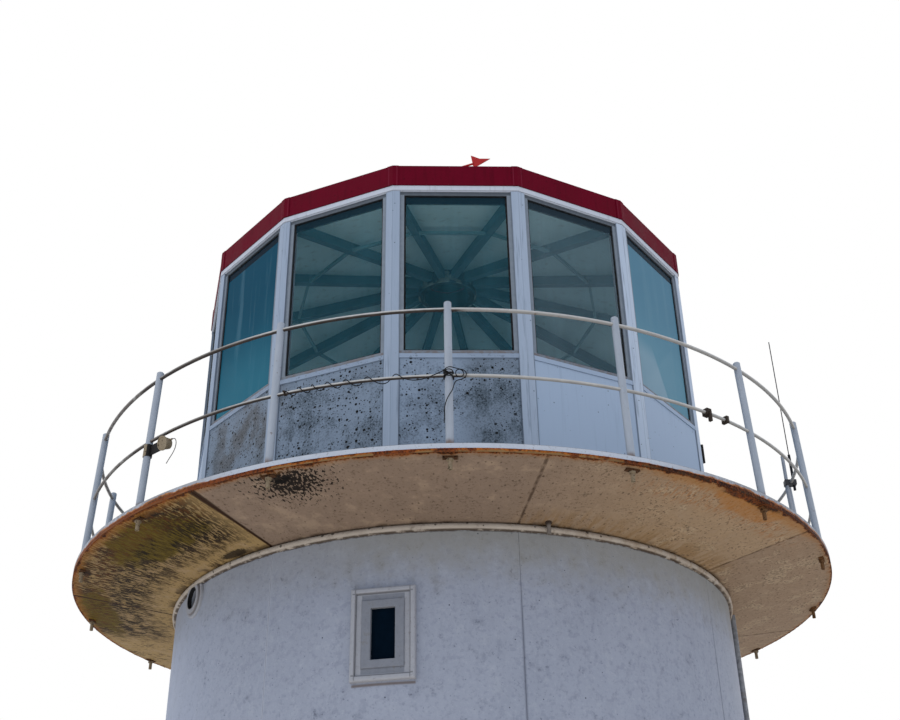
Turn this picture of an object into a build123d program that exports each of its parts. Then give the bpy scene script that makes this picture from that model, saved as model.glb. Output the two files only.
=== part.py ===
from build123d import *
import os
from math import cos, sin, tan, pi, radians, degrees

os.makedirs("parts", exist_ok=True)

# Driving dimensions, in millimetres and degrees.
# Azimuths run from the photo side, which is -Y, towards +X.
G = 4650.0                  # underside of the gallery rim above the ground
FUSE = 5.0                  # overlap of two bodies that are fused
CUT = 50.0                  # reach of a cutter past its piece

# Tower shaft, eight bolted plates on a plinth
WALL_R = 2090.0
WALL_T = 40.0
PLINTH_OVER = 100.0         # plinth beyond the wall
PLINTH_H = 200.0
SEAM_AZ = -33.5             # one seam; the others follow at equal steps
SEGMENTS = 8
FLANGE_T = 16.0
FLANGE_DEPTH = 90.0
FOOT_FLANGE_T = 20.0
LEDGE_W = 110.0             # inner ledge that carries the lantern floor
LEDGE_T = 30.0
LEDGE_FREE = 40.0           # floor edge inside the wall
GROOVE_W = 3.0
GROOVE_D = 3.0

# Gallery
GALLERY_R = 2850.0
RIM_FLANGE_T = 26.0         # rusty soffit flange at the rim
RIM_FLANGE_W = 70.0
DECK_T = 32.0
SOFFIT_FALL = 119.0         # from the rim to the wall
SOFFIT_T = 14.0
WEB_T = 14.0
WEB_SHORT = 40.0            # pan web ends short of the rim
WEB_LIFT = 4.0
BEAD_H = 47.0
BEAD_PROUD = 29.0
SPOUT_AZ = 16.4
SPOUT_R = 13.5
SPOUT_BORE_R = 10.0
SPOUT_LEN = 82.0
SPOUT_OUT = 28.0            # axis outside the bead
SPOUT_FLANGE_R = 21.0
SPOUT_FLANGE_T = 8.0

# Lantern, a regular prism of fourteen sides
SIDES = 14
FACE_AZ = 2.08              # azimuth of the face at the front
LANTERN_IN = 15.0           # lantern corners inside the tower wall
CORNER_PROUD = 6.0
CORNER_W = 54.0
WALL_DEPTH = 70.0
PANEL_T = 30.0
SILL_UP = 1145.0            # above G
SILL_STRIP_H = 34.0         # flashing along the panel's top
SILL_STRIP_PROUD = 7.0
WINDOW_TALL = 1395.0
LINTEL_H = 8.0
TRIM_H = 40.0
TRIM_PROUD = 10.0
FRAME_FACE = 30.0
FRAME_DEPTH = 55.0
FRAME_BACK = 5.0            # frame set back from the wall plane
GLASS_BACK = 14.0
GLASS_T = 10.0

# Gallery door in one parapet face
DOOR_FACE = 3
LEAF_SIDE = 37.5            # from the leaf to the corner post
LEAF_LIFT = 60.0
LEAF_DROP = 55.0
LEAF_GAP = 4.0
LEAF_LAP = 18.0
LEAF_LAP_T = 8.0
HINGE_IN = 122.0            # hinge from the leaf's top and bottom
HINGE_FOOT = 16.0
HINGE_REACH = 120.0
HINGE_H = 60.0
HINGE_T = 8.0
KNUCKLE_R = 12.0
KNUCKLE_H = 150.0
LATCH_UP = 560.0
LATCH_EDGE = 60.0
LATCH_W = 50.0
LATCH_H = 140.0
LATCH_T = 12.0
LEVER_H = 22.0
LEVER_LEN = 120.0
LEVER_OUT = 32.0
LEVER_T = 14.0

# Roof
FASCIA_H = 184.0
FASCIA_PROUD = 4.0          # beyond the trim
FASCIA_T = 65.0
STRAP_W = 44.0
STRAP_PROUD = 4.0
STRAP_DEEP = 20.0
ROOF_SLOPE = 0.274
ROOF_T = 10.0
ROOF_TOP_R = 150.0
RIB_W = 58.0
RIB_DEEP = 88.0
PURLIN_APOTHEM = 1294.0
PURLIN_W = 22.0
PURLIN_H = 26.0
HUB_R = 262.0
HUB_WALL = 57.0
HUB_H = 180.0
HUB_OVER = 14.0             # hub above the roof skin's top

# Ventilator, spindle and vane
VENT_FLANGE = 12.0
VENT_FLANGE_T = 14.0
VENT_DRUM_R = 190.0
VENT_DRUM_H = 260.0
VENT_WALL = 12.0
VENT_CEILING = 40.0
VENT_CAP_R = 300.0
VENT_LIP = 30.0
VENT_CAP_H = 190.0
VENT_CAP_TOP_R = 60.0
SPINDLE_R = 24.0
SPINDLE_H = 785.0
PIN_R = 8.0
PIN_OVER = 12.0
PIN_CLEAR = 0.1
VANE_LIFT = 1.0
VANE_AZ = 66.7
VANE_HUB_R = 20.0
VANE_HUB_H = 70.0
VANE_ROD_R = 10.0
FIN_T = 6.0
HEAD_AT = 296.0
HEAD_BACK = 24.0            # its upper barb sweeps back
HEAD_LEN = 172.0
HEAD_RISE = 108.0
HEAD_FALL = 56.0
HEAD_WAIST = 66.0           # hollow edge of the arrow head
HEAD_WAIST_UP = 38.0
TAIL_AT = 260.0
TAIL_LEN = 190.0
TAIL_NOTCH = 45.0
TAIL_H = 90.0

# Railing
POSTS = 16
POST_R = 24.15
POST_INSET = 45.0           # post foot inside the gallery rim
POST_LEAN = 1.9
POST_H = 1012.0             # above the deck
CAP_R = 18.0
CAP_H = 6.0
TOP_RAIL_H = 958.0
MID_RAIL_H = 478.0
TOP_RAIL_R = 12.5
MID_RAIL_R = 11.0
RAIL_SEAT = 0.3             # clearance of a rail in its drilled post
FOOT_R = 38.0
FOOT_T = 9.0
FOOT_IN = 6.0               # foot plate inside the post
LUG_REACH = 64.0
LUG_D = 26.0
BOLT_R = 9.0
BOLT_H = 8.0
BOLT_AT = 52.0
NUT_PLATE_L = 88.0
NUT_PLATE_D = 34.0
NUT_PLATE_T = 9.0
NUT_R = 22.0
NUT_H = 16.0
STUB_R = 13.0
STUB_BORE_R = 9.0
STUB_LEN = 78.0

# Tower window
WINDOW_AZ = -11.4
WINDOW_DROP = 800.0         # centre below G
WINDOW_W = 398.0
WINDOW_H = 562.0
MOULD_W = 33.0
MOULD_PROUD = 34.0
MOULD_ROUND = 12.0
BAND_PROUD = 16.0
CASEMENT_W = 264.0
CASEMENT_H = 413.0
CASEMENT_PROUD = 26.0
CASEMENT_IN = 30.0
CASEMENT_ROUND = 5.0
PANE_W = 150.0
PANE_H = 313.0
PANE_BACK = 2.0
PANE_T = 8.0

# Porthole
PORT_AZ = -57.4
PORT_DROP = 240.0
PORT_R = 72.0
PORT_RING_R = 135.0
PORT_RING_PROUD = 14.0
PORT_LIP_R = 108.0
PORT_LIP_PROUD = 28.0
PORT_ROUND = 6.0

# Entrance at the back
DOOR_AZ = 169.0
DOOR_W = 860.0
DOOR_H = 2020.0
DOOR_FRAME = 70.0
DOOR_FRAME_PROUD = 20.0
DOOR_FRAME_IN = 60.0
DOOR_GAP = 3.0
DOOR_T = 45.0
DOOR_BACK = 25.0            # door face inside the wall face
HANDLE_UP = 1000.0
HANDLE_IN = 90.0
HANDLE_R = 12.0
HANDLE_OUT = 50.0
HANDLE_LEN = 120.0
HANDLE_H = 20.0

# Downpipe
PIPE_AZ = 85.5
PIPE_R = 24.0
PIPE_OFF = 40.0             # axis off the wall
BRACKET_UPS = (1000.0, 2250.0, 3500.0)
BRACKET_W = 68.0
BRACKET_H = 30.0
BRACKET_OVER = 4.0
PIPE_CLEAR = 0.3

# Aerial, lamp and clamps on the railing
AERIAL_AZ = 88.2
MAST_R = 14.0
MAST_DOWN = 318.0           # below the top rail
MAST_UP = 242.0             # above the top rail
COIL_DOWN = 63.0
COIL_UP = 254.0
COIL_R = 11.0
WHIP_R = 4.0
WHIP_LEN = 1090.0
AERIAL_GAP = 3.0            # mast and coil off the rail
GRIP_H = 44.0
GRIP_W = 60.0
GRIP_T = 6.0
LAMP_AZ = -41.3
LAMP_POST = 14              # the post that carries it, counted from the front
LAMP_R = 44.0
LAMP_BACK_R = 34.0
LAMP_LEN = 58.0
LAMP_DROP = 68.0            # its centre below the mid rail
LAMP_IN = 8.0               # its centre inside the rail
LAMP_TILT = 15.0
LAMP_LIP = 4.0
LAMP_LIP_H = 9.0
LENS_IN = 3.0
ARM_H = 72.0
ARM_T = 8.0
COLLAR_T = 6.0
COLLAR_H = 84.0
CLAMP_AZ = 36.0
CLAMP_W = 40.0
CLAMP_T = 12.0
TONGUE_W = 16.0
TONGUE_OUT = 34.0
TONGUE_H = 46.0
SMALL_CLAMP_AZ = 39.6
SMALL_CLAMP_W = 22.0

# Old cable wound round the mid rail, and the lamp's wire
CABLE_R = 3.0
TIE_W = 12.0
TIE_T = 5.0
TIE_SLEEVE_R = 6.0
# route of the cable: azimuth, then out and up from the rail's axis
CABLE_ROUTE = (
    (-20.85, 25, 0), (-20.45, 24, -7), (-20.15, 10, -22), (-19.9, -14, -20), (-19.7, -24, 0),
    (-19.5, -13, 21), (-19.2, 9, 23), (-18.85, 23, 9), (-18.45, 20, -14), (-18.1, -1, -25),
    (-17.85, -21, -13), (-17.65, -21, 12), (-17.4, -1, 25), (-17.1, 20, 15), (-16.8, 23, -9),
    (-16.45, 6, -25), (-16.15, -17, -18), (-15.9, -24, 5), (-15.6, -9, 24), (-15.2, 14, 21),
    (-14.8, 25, 0), (-14.35, 12, -23), (-13.95, -13, -22), (-13.65, -25, -1), (-13.3, -13, 21),
    (-12.9, 10, 23), (-12.5, 24, 5), (-12.05, 17, -20), (-11.55, -6, -27), (-11.1, -22, -12),
    (-10.75, -20, 13), (-10.35, -2, 25), (-9.95, 19, 17), (-9.5, 26, -7), (-8.95, 15, -27),
    (-8.3, -4, -31), (-7.75, -20, -19), (-7.3, -23, 4), (-6.9, -9, 24), (-6.45, 14, 22),
    (-6.05, 26, 2), (-5.5, 24, -20), (-4.6, 22, -34), (-3.6, 24, -36), (-2.6, 29, -27),
    (-1.75, 35, -11), (-1.08, 38, 2), (-0.42, 41, 19), (0.13, 43, 24), (0.55, 44, 9),
    (0.52, 45, -14), (0.07, 47, -28), (-0.42, 48, -20), (-0.64, 50, 2), (-0.37, 52, 23),
    (0.15, 54, 33), (0.75, 48, 26), (1.25, 38, 25), (1.72, 30, 17), (1.9, 28, -6),
    (1.48, 26, -28), (1.0, 27, -20), (0.8, 28, 3), (1.0, 26, 26), (1.5, 22, 33),
    (2.05, 21, 20), (2.2, 22, -8), (1.85, 27, -34), (1.35, 32, -46), (0.88, 36, -54),
    (0.62, 40, -80), (0.45, 43, -120), (-0.05, 45, -160), (-0.42, 46, -205), (-0.58, 47, -255),
    (-0.54, 48, -300), (-0.62, 49, -343))
WIRE_R = 2.5
WIRE_SLEEVE_R = 6.0
WIRE_SLEEVE_LEN = 30.0
# route of the wire: along the rail, out and up from the lamp's centre
WIRE_ROUTE = (
    (57, -8, 16), (80, -8, 14), (102, -6, -4), (116, -3, -36), (115, 1, -74), (98, 5, -108),
    (72, 8, -136), (48, 9, -162))

# Places that follow from the sizes above
HALF = pi / SIDES
SEGMENT_ARC = 360.0 / SEGMENTS
FACE_ARC = 360.0 / SIDES
POST_ARC = 360.0 / POSTS
WALL_IN = WALL_R - WALL_T
FLANGE_IN = WALL_IN - FLANGE_DEPTH
WALL_TOP = G + RIM_FLANGE_T
DECK_TOP = WALL_TOP + DECK_T
FLOOR_R = WALL_IN - LEDGE_FREE
LANTERN_R = WALL_R - LANTERN_IN
APOTHEM = LANTERN_R * cos(HALF)
FRAME_W = 2 * (LANTERN_R * sin(HALF) - CORNER_W)
LEAF_W = FRAME_W - 2 * LEAF_SIDE
HEAD_R = (APOTHEM - WALL_DEPTH) / cos(HALF)
SILL_Z = G + SILL_UP
HEAD_Z = SILL_Z + WINDOW_TALL
TRIM_Z = HEAD_Z + LINTEL_H
TRIM_R = LANTERN_R + TRIM_PROUD
ROOF_EDGE = TRIM_Z + TRIM_H
FASCIA_R = TRIM_R + FASCIA_PROUD
FASCIA_IN_R = FASCIA_R - FASCIA_T
FASCIA_TOP = ROOF_EDGE + FASCIA_H
POST_FOOT_R = GALLERY_R - POST_INSET


def place(shape, az):
    return Rot(0, 0, az) * shape


def ring(points, start=0.0, arc=360.0):
    face = Plane.XZ * make_face(Polyline(*points, close=True))
    return place(revolve(face, Axis.Z, arc), start - 90.0)


def tube(r_out, r_in, z0, z1):
    return ring([(r_in, z0), (r_out, z0), (r_out, z1), (r_in, z1)])


def disc(r, z0, z1):
    return Pos(0, 0, z0) * Cylinder(r, z1 - z0, align=(Align.CENTER, Align.CENTER, Align.MIN))


def pin(r, out, z, r0, r1):
    # a round bar that points outwards from radius r0 to r1, at azimuth 0
    return Pos(out, -(r0 + r1) / 2, z) * Rot(90, 0, 0) * Cylinder(r, r1 - r0)


def block(x0, x1, r0, r1, z0, z1):
    # a box at azimuth 0: x across, r outwards, z up
    return Pos((x0 + x1) / 2, -(r0 + r1) / 2, (z0 + z1) / 2) * Box(x1 - x0, r1 - r0, z1 - z0)


def slab(width, r0, r1, z0, z1):
    return block(-width / 2, width / 2, r0, r1, z0, z1)


def side_face(points):
    # a flat face in the plane of azimuth 0, from (radius, height) points
    return Plane.YZ * make_face(Polyline(*[(-r, z) for r, z in points], close=True))


def corner_angles():
    return [radians(FACE_AZ) + HALF + 2 * HALF * k for k in range(SIDES)]


def prism(r, z0, z1):
    pts = [(r * sin(a), -r * cos(a)) for a in corner_angles()]
    return Pos(0, 0, z0) * extrude(make_face(Polyline(*pts, close=True)), z1 - z0)


def pyramid(r0, z0, r1, z1):
    low = [Vector(r0 * sin(a), -r0 * cos(a), z0) for a in corner_angles()]
    top = [Vector(r1 * sin(a), -r1 * cos(a), z1) for a in corner_angles()]
    faces = [Face(Wire.make_polygon(low)), Face(Wire.make_polygon(top))]
    for i in range(SIDES):
        j = (i + 1) % SIDES
        faces.append(Face(Wire.make_polygon([low[i], low[j], top[j], top[i]])))
    return Solid(Shell(faces))


def corner_post(r, across, proud, deep, z0, z1):
    # a bent strip on one corner, at azimuth 0
    s, c = sin(HALF), cos(HALF)
    outer = (across * c + proud * s, r - across * s + proud * c)
    inner = (across * c - deep * s, r - across * s - deep * c)
    pts = [(0, r + proud / c), outer, inner, (0, r - deep / c),
           (-inner[0], inner[1]), (-outer[0], outer[1])]
    face = make_face(Polyline(*[(x, -y) for x, y in pts], close=True))
    return Pos(0, 0, z0) * extrude(face, z1 - z0)


def round_corners(shape):
    # the same piece on every corner of the lantern
    return [place(shape, FACE_AZ + FACE_ARC / 2 + FACE_ARC * k).solid() for k in range(SIDES)]


def soffit_z(r):
    return G - SOFFIT_FALL * (GALLERY_R - r) / (GALLERY_R - WALL_R)


def roof_in_z(r):
    return ROOF_EDGE + ROOF_SLOPE * (FASCIA_IN_R - r)


def save(name, shape):
    export_step(shape, "parts/" + name + ".step")


# Plinth
save("base_plinth", disc(WALL_R + PLINTH_OVER, 0, PLINTH_H))

# Tower wall plates with their flanges
seams = [SEAM_AZ + SEGMENT_ARC * i for i in range(SEGMENTS)]
wall_profile = [
    (FLANGE_IN, PLINTH_H), (WALL_R, PLINTH_H), (WALL_R, WALL_TOP),
    (WALL_IN - LEDGE_W, WALL_TOP), (WALL_IN - LEDGE_W, WALL_TOP - LEDGE_T),
    (WALL_IN, WALL_TOP - LEDGE_T), (WALL_IN, PLINTH_H + FOOT_FLANGE_T),
    (FLANGE_IN, PLINTH_H + FOOT_FLANGE_T),
]
window_z = G - WINDOW_DROP
casement_low, casement_high = window_z - CASEMENT_H / 2, window_z + CASEMENT_H / 2
window_hole = place(slab(CASEMENT_W, FLANGE_IN - CUT, WALL_R + 2 * CUT, casement_low, casement_high),
                    WINDOW_AZ)
port_z = G - PORT_DROP
port_hole = place(pin(PORT_R, 0, port_z, FLANGE_IN - CUT, WALL_R + 2 * CUT), PORT_AZ)
door_out = DOOR_W + 2 * DOOR_FRAME
door_low, door_high = PLINTH_H, PLINTH_H + DOOR_H
door_hole = place(slab(door_out, FLANGE_IN - 2 * CUT, WALL_R + 2 * CUT, door_low, door_high + DOOR_FRAME),
                  DOOR_AZ)
seam_cut = slab(GROOVE_W, WALL_R - GROOVE_D, WALL_R + CUT, PLINTH_H - CUT, WALL_TOP + CUT)
for i, seam in enumerate(seams):
    wall = ring(wall_profile, seam, SEGMENT_ARC)
    web = (FLANGE_IN, WALL_IN + FUSE, PLINTH_H, WALL_TOP - FUSE)
    wall += place(block(0, FLANGE_T, *web), seam)
    wall += place(block(-FLANGE_T, 0, *web), seam + SEGMENT_ARC)
    wall -= place(seam_cut, seam) + place(seam_cut, seam + SEGMENT_ARC)
    for hole in (window_hole, port_hole, door_hole):
        wall -= hole
    save("tower_wall_%d" % (i + 1), wall)

# Gallery soffit pans, deck and the half round bead under them
flange_r, web_r = GALLERY_R - RIM_FLANGE_W, WALL_R + WEB_T
pan_profile = [
    (WALL_R, soffit_z(WALL_R)), (GALLERY_R, G), (GALLERY_R, WALL_TOP), (flange_r, WALL_TOP),
    (flange_r, soffit_z(flange_r) + SOFFIT_T), (web_r, soffit_z(web_r) + SOFFIT_T),
    (web_r, WALL_TOP), (WALL_R, WALL_TOP),
]
web_low_r, web_high_r = WALL_R + FUSE, GALLERY_R - WEB_SHORT
web_face = side_face([(web_low_r, soffit_z(web_low_r) + WEB_LIFT),
                      (web_high_r, soffit_z(web_high_r) + WEB_LIFT),
                      (web_high_r, WALL_TOP), (web_low_r, WALL_TOP)])
groove_face = side_face([(r, soffit_z(r) + lift) for r, lift in (
    (WALL_R - FUSE, -FUSE), (GALLERY_R + FUSE, -FUSE),
    (GALLERY_R + FUSE, GROOVE_D), (WALL_R - FUSE, GROOVE_D))])
web_plus = extrude(web_face, WEB_T)
web_minus = Pos(-WEB_T, 0, 0) * web_plus
groove = extrude(groove_face, GROOVE_W / 2, both=True)
pans = {"a": [], "b": []}
for i, seam in enumerate(seams):
    pan = ring(pan_profile, seam, SEGMENT_ARC)
    pan += place(web_plus, seam)
    pan += place(web_minus, seam + SEGMENT_ARC)
    pan -= place(groove, seam) + place(groove, seam + SEGMENT_ARC)
    pans["ab"[i % 2]].append(pan.solid())
save("gallery_soffit_a", Compound(pans["a"]))
save("gallery_soffit_b", Compound(pans["b"]))
save("gallery_deck", tube(GALLERY_R, FLOOR_R, WALL_TOP, DECK_TOP))
save("lantern_floor", disc(FLOOR_R, WALL_TOP, DECK_TOP))
bead_top, bead_low = soffit_z(WALL_R), soffit_z(WALL_R) - BEAD_H
bead_r = WALL_R + BEAD_PROUD
bead_points = [(WALL_R, bead_low), (WALL_R, bead_top)]
for turn in (-80, -60, -40, -20, 0, 20, 40, 60, 80, 90):
    r = WALL_R + BEAD_PROUD * cos(radians(turn))
    bead_points.append((r, min(soffit_z(r), bead_low + BEAD_H / 2 * (1 - sin(radians(turn))))))
save("cornice_bead", ring(bead_points))

# Drain spout under the gallery
spout_r = bead_r + SPOUT_OUT
spout_top = soffit_z(spout_r) + SOFFIT_T / 2
spout = disc(SPOUT_R, soffit_z(spout_r) - SPOUT_LEN, spout_top)
spout += disc(SPOUT_FLANGE_R, soffit_z(spout_r) - SPOUT_FLANGE_T, spout_top)
spout -= disc(SPOUT_BORE_R, soffit_z(spout_r) - SPOUT_LEN - CUT, soffit_z(spout_r) - SPOUT_FLANGE_T)
spout = Pos(0, -spout_r, 0) * spout - ring(pan_profile, -FACE_ARC / 2, FACE_ARC)
save("soffit_spout", place(spout, SPOUT_AZ))

# Lantern posts, parapet panels, window frames and glass
faces_az = [FACE_AZ + FACE_ARC * k for k in range(SIDES)]
save("corner_posts", Compound(round_corners(corner_post(
    LANTERN_R, CORNER_W, CORNER_PROUD, WALL_DEPTH, DECK_TOP, HEAD_Z))))
panel = slab(FRAME_W, APOTHEM - PANEL_T, APOTHEM, DECK_TOP, SILL_Z)
panel += slab(FRAME_W, APOTHEM, APOTHEM + SILL_STRIP_PROUD, SILL_Z - SILL_STRIP_H, SILL_Z)
leaf_low, leaf_high = DECK_TOP + LEAF_LIFT, SILL_Z - LEAF_DROP
leaf_hole = slab(LEAF_W + 2 * LEAF_GAP, APOTHEM - PANEL_T - CUT, APOTHEM + CUT,
                 leaf_low - LEAF_GAP, leaf_high + LEAF_GAP)
front = [k for k in range(-2, DOOR_FACE)]
rear = [k for k in range(DOOR_FACE, SIDES - 2)]
save("parapet_front", Compound([place(panel, FACE_AZ + FACE_ARC * k).solid() for k in front]))
rear_solids = []
for k in rear:
    piece = panel - leaf_hole if k == DOOR_FACE else panel
    rear_solids.append(place(piece, FACE_AZ + FACE_ARC * k).solid())
save("parapet_rear", Compound(rear_solids))

# Gallery door with its hinges and latch
door_az = FACE_AZ + FACE_ARC * DOOR_FACE
lap_r = APOTHEM + LEAF_LAP_T
leaf = slab(LEAF_W, APOTHEM - PANEL_T, APOTHEM, leaf_low, leaf_high)
leaf += slab(LEAF_W + 2 * LEAF_LAP, APOTHEM, lap_r, leaf_low - LEAF_LAP, leaf_high + LEAF_LAP)
save("gallery_door", place(leaf, door_az))
hardware = []
hinge_x = -LEAF_W / 2 - LEAF_LAP
hinge_r = lap_r + HINGE_T
for z in (leaf_high - HINGE_IN, leaf_low + HINGE_IN):
    low, high = z - HINGE_H / 2, z + HINGE_H / 2
    hinge = block(hinge_x - HINGE_FOOT, hinge_x + HINGE_REACH, lap_r, hinge_r, low, high)
    hinge += block(hinge_x - HINGE_FOOT, hinge_x, APOTHEM, hinge_r, low, high)
    hinge += Pos(hinge_x, -hinge_r, z) * Cylinder(KNUCKLE_R, KNUCKLE_H)
    hinge -= slab(LEAF_W + 2 * LEAF_LAP, APOTHEM - CUT, lap_r, leaf_low - LEAF_LAP, leaf_high + LEAF_LAP)
    hinge -= slab(2 * LANTERN_R, APOTHEM - CUT, APOTHEM, leaf_low - CUT, leaf_high + CUT)
    hardware.append(place(hinge, door_az).solid())
latch_x, latch_z = LEAF_W / 2 - LATCH_EDGE, G + LATCH_UP
lever_x, lever_z = latch_x - LATCH_W / 2, latch_z + LATCH_H / 2
lever_r = lap_r + LATCH_T + LEVER_OUT
latch = block(latch_x - LATCH_W, latch_x, lap_r, lap_r + LATCH_T, latch_z, latch_z + LATCH_H)
latch += block(lever_x - LEVER_H / 2, lever_x + LEVER_H / 2, lap_r + LATCH_T - FUSE, lever_r,
               lever_z - LEVER_H / 2, lever_z + LEVER_H / 2)
latch += block(lever_x - LEVER_LEN, lever_x + LEVER_H / 2, lever_r - LEVER_T, lever_r,
               lever_z - LEVER_H / 2, lever_z + LEVER_H / 2)
hardware.append(place(latch, door_az).solid())
save("door_hardware", Compound(hardware))

# Window frames and glass
frame_r = APOTHEM - FRAME_BACK
glass_w = FRAME_W - 2 * FRAME_FACE
glass_low, glass_high = SILL_Z + FRAME_FACE, HEAD_Z - FRAME_FACE
frame = slab(FRAME_W, frame_r - FRAME_DEPTH, frame_r, SILL_Z, HEAD_Z)
frame -= slab(glass_w, frame_r - FRAME_DEPTH - CUT, frame_r + CUT, glass_low, glass_high)
glass = slab(glass_w, frame_r - GLASS_BACK - GLASS_T, frame_r - GLASS_BACK, glass_low, glass_high)
save("window_frames", Compound([place(frame, a).solid() for a in faces_az]))
save("window_glass", Compound([place(glass, a).solid() for a in faces_az]))

# Eaves trim and fascia
eaves = prism(LANTERN_R, HEAD_Z, TRIM_Z) + prism(TRIM_R, TRIM_Z, ROOF_EDGE)
eaves -= prism(HEAD_R, HEAD_Z - CUT, ROOF_EDGE + CUT)
save("eaves_trim", eaves)
fascia = prism(FASCIA_R, ROOF_EDGE, FASCIA_TOP)
for strap in round_corners(corner_post(FASCIA_R, STRAP_W, STRAP_PROUD, STRAP_DEEP,
                                       ROOF_EDGE, FASCIA_TOP)):
    fascia += strap
fascia -= prism(FASCIA_IN_R, ROOF_EDGE - CUT, FASCIA_TOP + CUT)
save("fascia", fascia)

# Roof skin, ribs with their purlin, and hub
roof_top = roof_in_z(ROOF_TOP_R)
hub_top = roof_top + ROOF_T + HUB_OVER
hub_core = disc(HUB_R, HEAD_Z, hub_top + CUT)
under = pyramid(FASCIA_IN_R, ROOF_EDGE, ROOF_TOP_R, roof_top)
skin = prism(FASCIA_IN_R, ROOF_EDGE, ROOF_EDGE + ROOF_T)
skin += pyramid(FASCIA_IN_R, ROOF_EDGE + ROOF_T, ROOF_TOP_R, roof_top + ROOF_T)
save("roof_skin", skin - under - hub_core)
rib_in_r, rib_out_r = HUB_R - CUT, HEAD_R + CUT
rib = extrude(side_face([
    (rib_in_r, roof_in_z(rib_in_r) + CUT), (rib_out_r, roof_in_z(rib_out_r) + CUT),
    (rib_out_r, roof_in_z(rib_out_r) - RIB_DEEP), (rib_in_r, roof_in_z(rib_in_r) - RIB_DEEP),
]), RIB_W / 2, both=True)
ribs = Part()
for each in round_corners(rib):
    ribs += each
purlin_r = PURLIN_APOTHEM / cos(HALF)
purlin_z = roof_in_z(purlin_r) - RIB_DEEP
purlin = prism(purlin_r + PURLIN_W / 2, purlin_z, purlin_z + PURLIN_H)
purlin -= prism(purlin_r - PURLIN_W / 2, purlin_z - CUT, purlin_z + PURLIN_H + CUT)
room = prism(HEAD_R, HEAD_Z - RIB_DEEP, ROOF_EDGE) + under
save("roof_ribs", ((ribs + purlin) & room) - hub_core)
save("roof_hub", tube(HUB_R, HUB_R - HUB_WALL, hub_top - HUB_H, hub_top))

# Ventilator with the vane's spindle and pin
drum_top = hub_top + VENT_DRUM_H
cap_top = drum_top + VENT_CAP_H
spindle_top = cap_top + SPINDLE_H
vent = disc(HUB_R + VENT_FLANGE, hub_top, hub_top + VENT_FLANGE_T)
vent += disc(VENT_DRUM_R, hub_top, drum_top)
vent += ring([(0, drum_top - VENT_LIP), (VENT_CAP_R, drum_top - VENT_LIP), (VENT_CAP_R, drum_top),
              (VENT_CAP_TOP_R, cap_top), (0, cap_top)])
vent += disc(SPINDLE_R, drum_top, spindle_top)
vent += disc(PIN_R, drum_top, spindle_top + VANE_LIFT + VANE_HUB_H + PIN_OVER)
vent -= disc(VENT_DRUM_R - VENT_WALL, hub_top - CUT, drum_top - VENT_CEILING)
save("ventilator", vent)

# Weather vane: hub, rod, arrow head and swallow tail
vane_low = spindle_top + VANE_LIFT
vane_mid = vane_low + VANE_HUB_H / 2
vane = disc(VANE_HUB_R, vane_low, vane_low + VANE_HUB_H)
vane += pin(VANE_ROD_R, 0, vane_mid, -TAIL_AT - FUSE, HEAD_AT + FUSE)
head_face = side_face([
    (HEAD_AT - HEAD_BACK, vane_mid + HEAD_RISE), (HEAD_AT + HEAD_WAIST, vane_mid + HEAD_WAIST_UP),
    (HEAD_AT + HEAD_LEN, vane_mid), (HEAD_AT, vane_mid - HEAD_FALL)])
tail_end = -TAIL_AT - TAIL_LEN
tail_face = side_face([
    (-TAIL_AT, vane_mid), (tail_end, vane_mid + TAIL_H), (tail_end + TAIL_NOTCH, vane_mid),
    (tail_end, vane_mid - TAIL_H)])
vane += extrude(head_face, FIN_T / 2, both=True) + extrude(tail_face, FIN_T / 2, both=True)
vane -= disc(PIN_R + PIN_CLEAR, vane_low - CUT, vane_low + VANE_HUB_H + CUT)
save("weather_vane", place(vane, VANE_AZ))

# Railing
lean = radians(POST_LEAN)


def rail_r(height):
    return POST_FOOT_R - height * tan(lean)


def on_post(shape):
    # from a post's own upright axis to the leaning post at azimuth 0
    return Pos(0, -POST_FOOT_R, DECK_TOP) * Rot(-POST_LEAN, 0, 0) * shape


def rail_ring(r, height, grow=0.0):
    circle = Plane.XZ * (Pos(rail_r(height), DECK_TOP + height) * Circle(r + grow))
    return revolve(circle, Axis.Z, 360)


rail_seats = (rail_ring(TOP_RAIL_R, TOP_RAIL_H, RAIL_SEAT), rail_ring(MID_RAIL_R, MID_RAIL_H, RAIL_SEAT))
post_len = POST_H / cos(lean)
pole = ring([(0, -CUT), (POST_R, -CUT), (POST_R, post_len - CAP_H), (CAP_R, post_len), (0, post_len)])
pole = on_post(pole)
foot_r = POST_FOOT_R - FOOT_IN
foot = disc(FOOT_R, DECK_TOP, DECK_TOP + FOOT_T)
foot += slab(2 * LUG_REACH, -LUG_D / 2, LUG_D / 2, DECK_TOP, DECK_TOP + FOOT_T)
for x in (-BOLT_AT, BOLT_AT):
    foot += Pos(x, 0, 0) * disc(BOLT_R, DECK_TOP, DECK_TOP + FOOT_T + BOLT_H)
pole += Pos(0, -foot_r, 0) * foot
pole -= slab(4 * CUT, foot_r - 2 * CUT, GALLERY_R + CUT, DECK_TOP - 2 * CUT, DECK_TOP)
for seat in rail_seats:
    pole -= seat
posts_az = [POST_ARC * k for k in range(POSTS)]
save("stanchions", Compound([place(pole, a).solid() for a in posts_az]))

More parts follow.
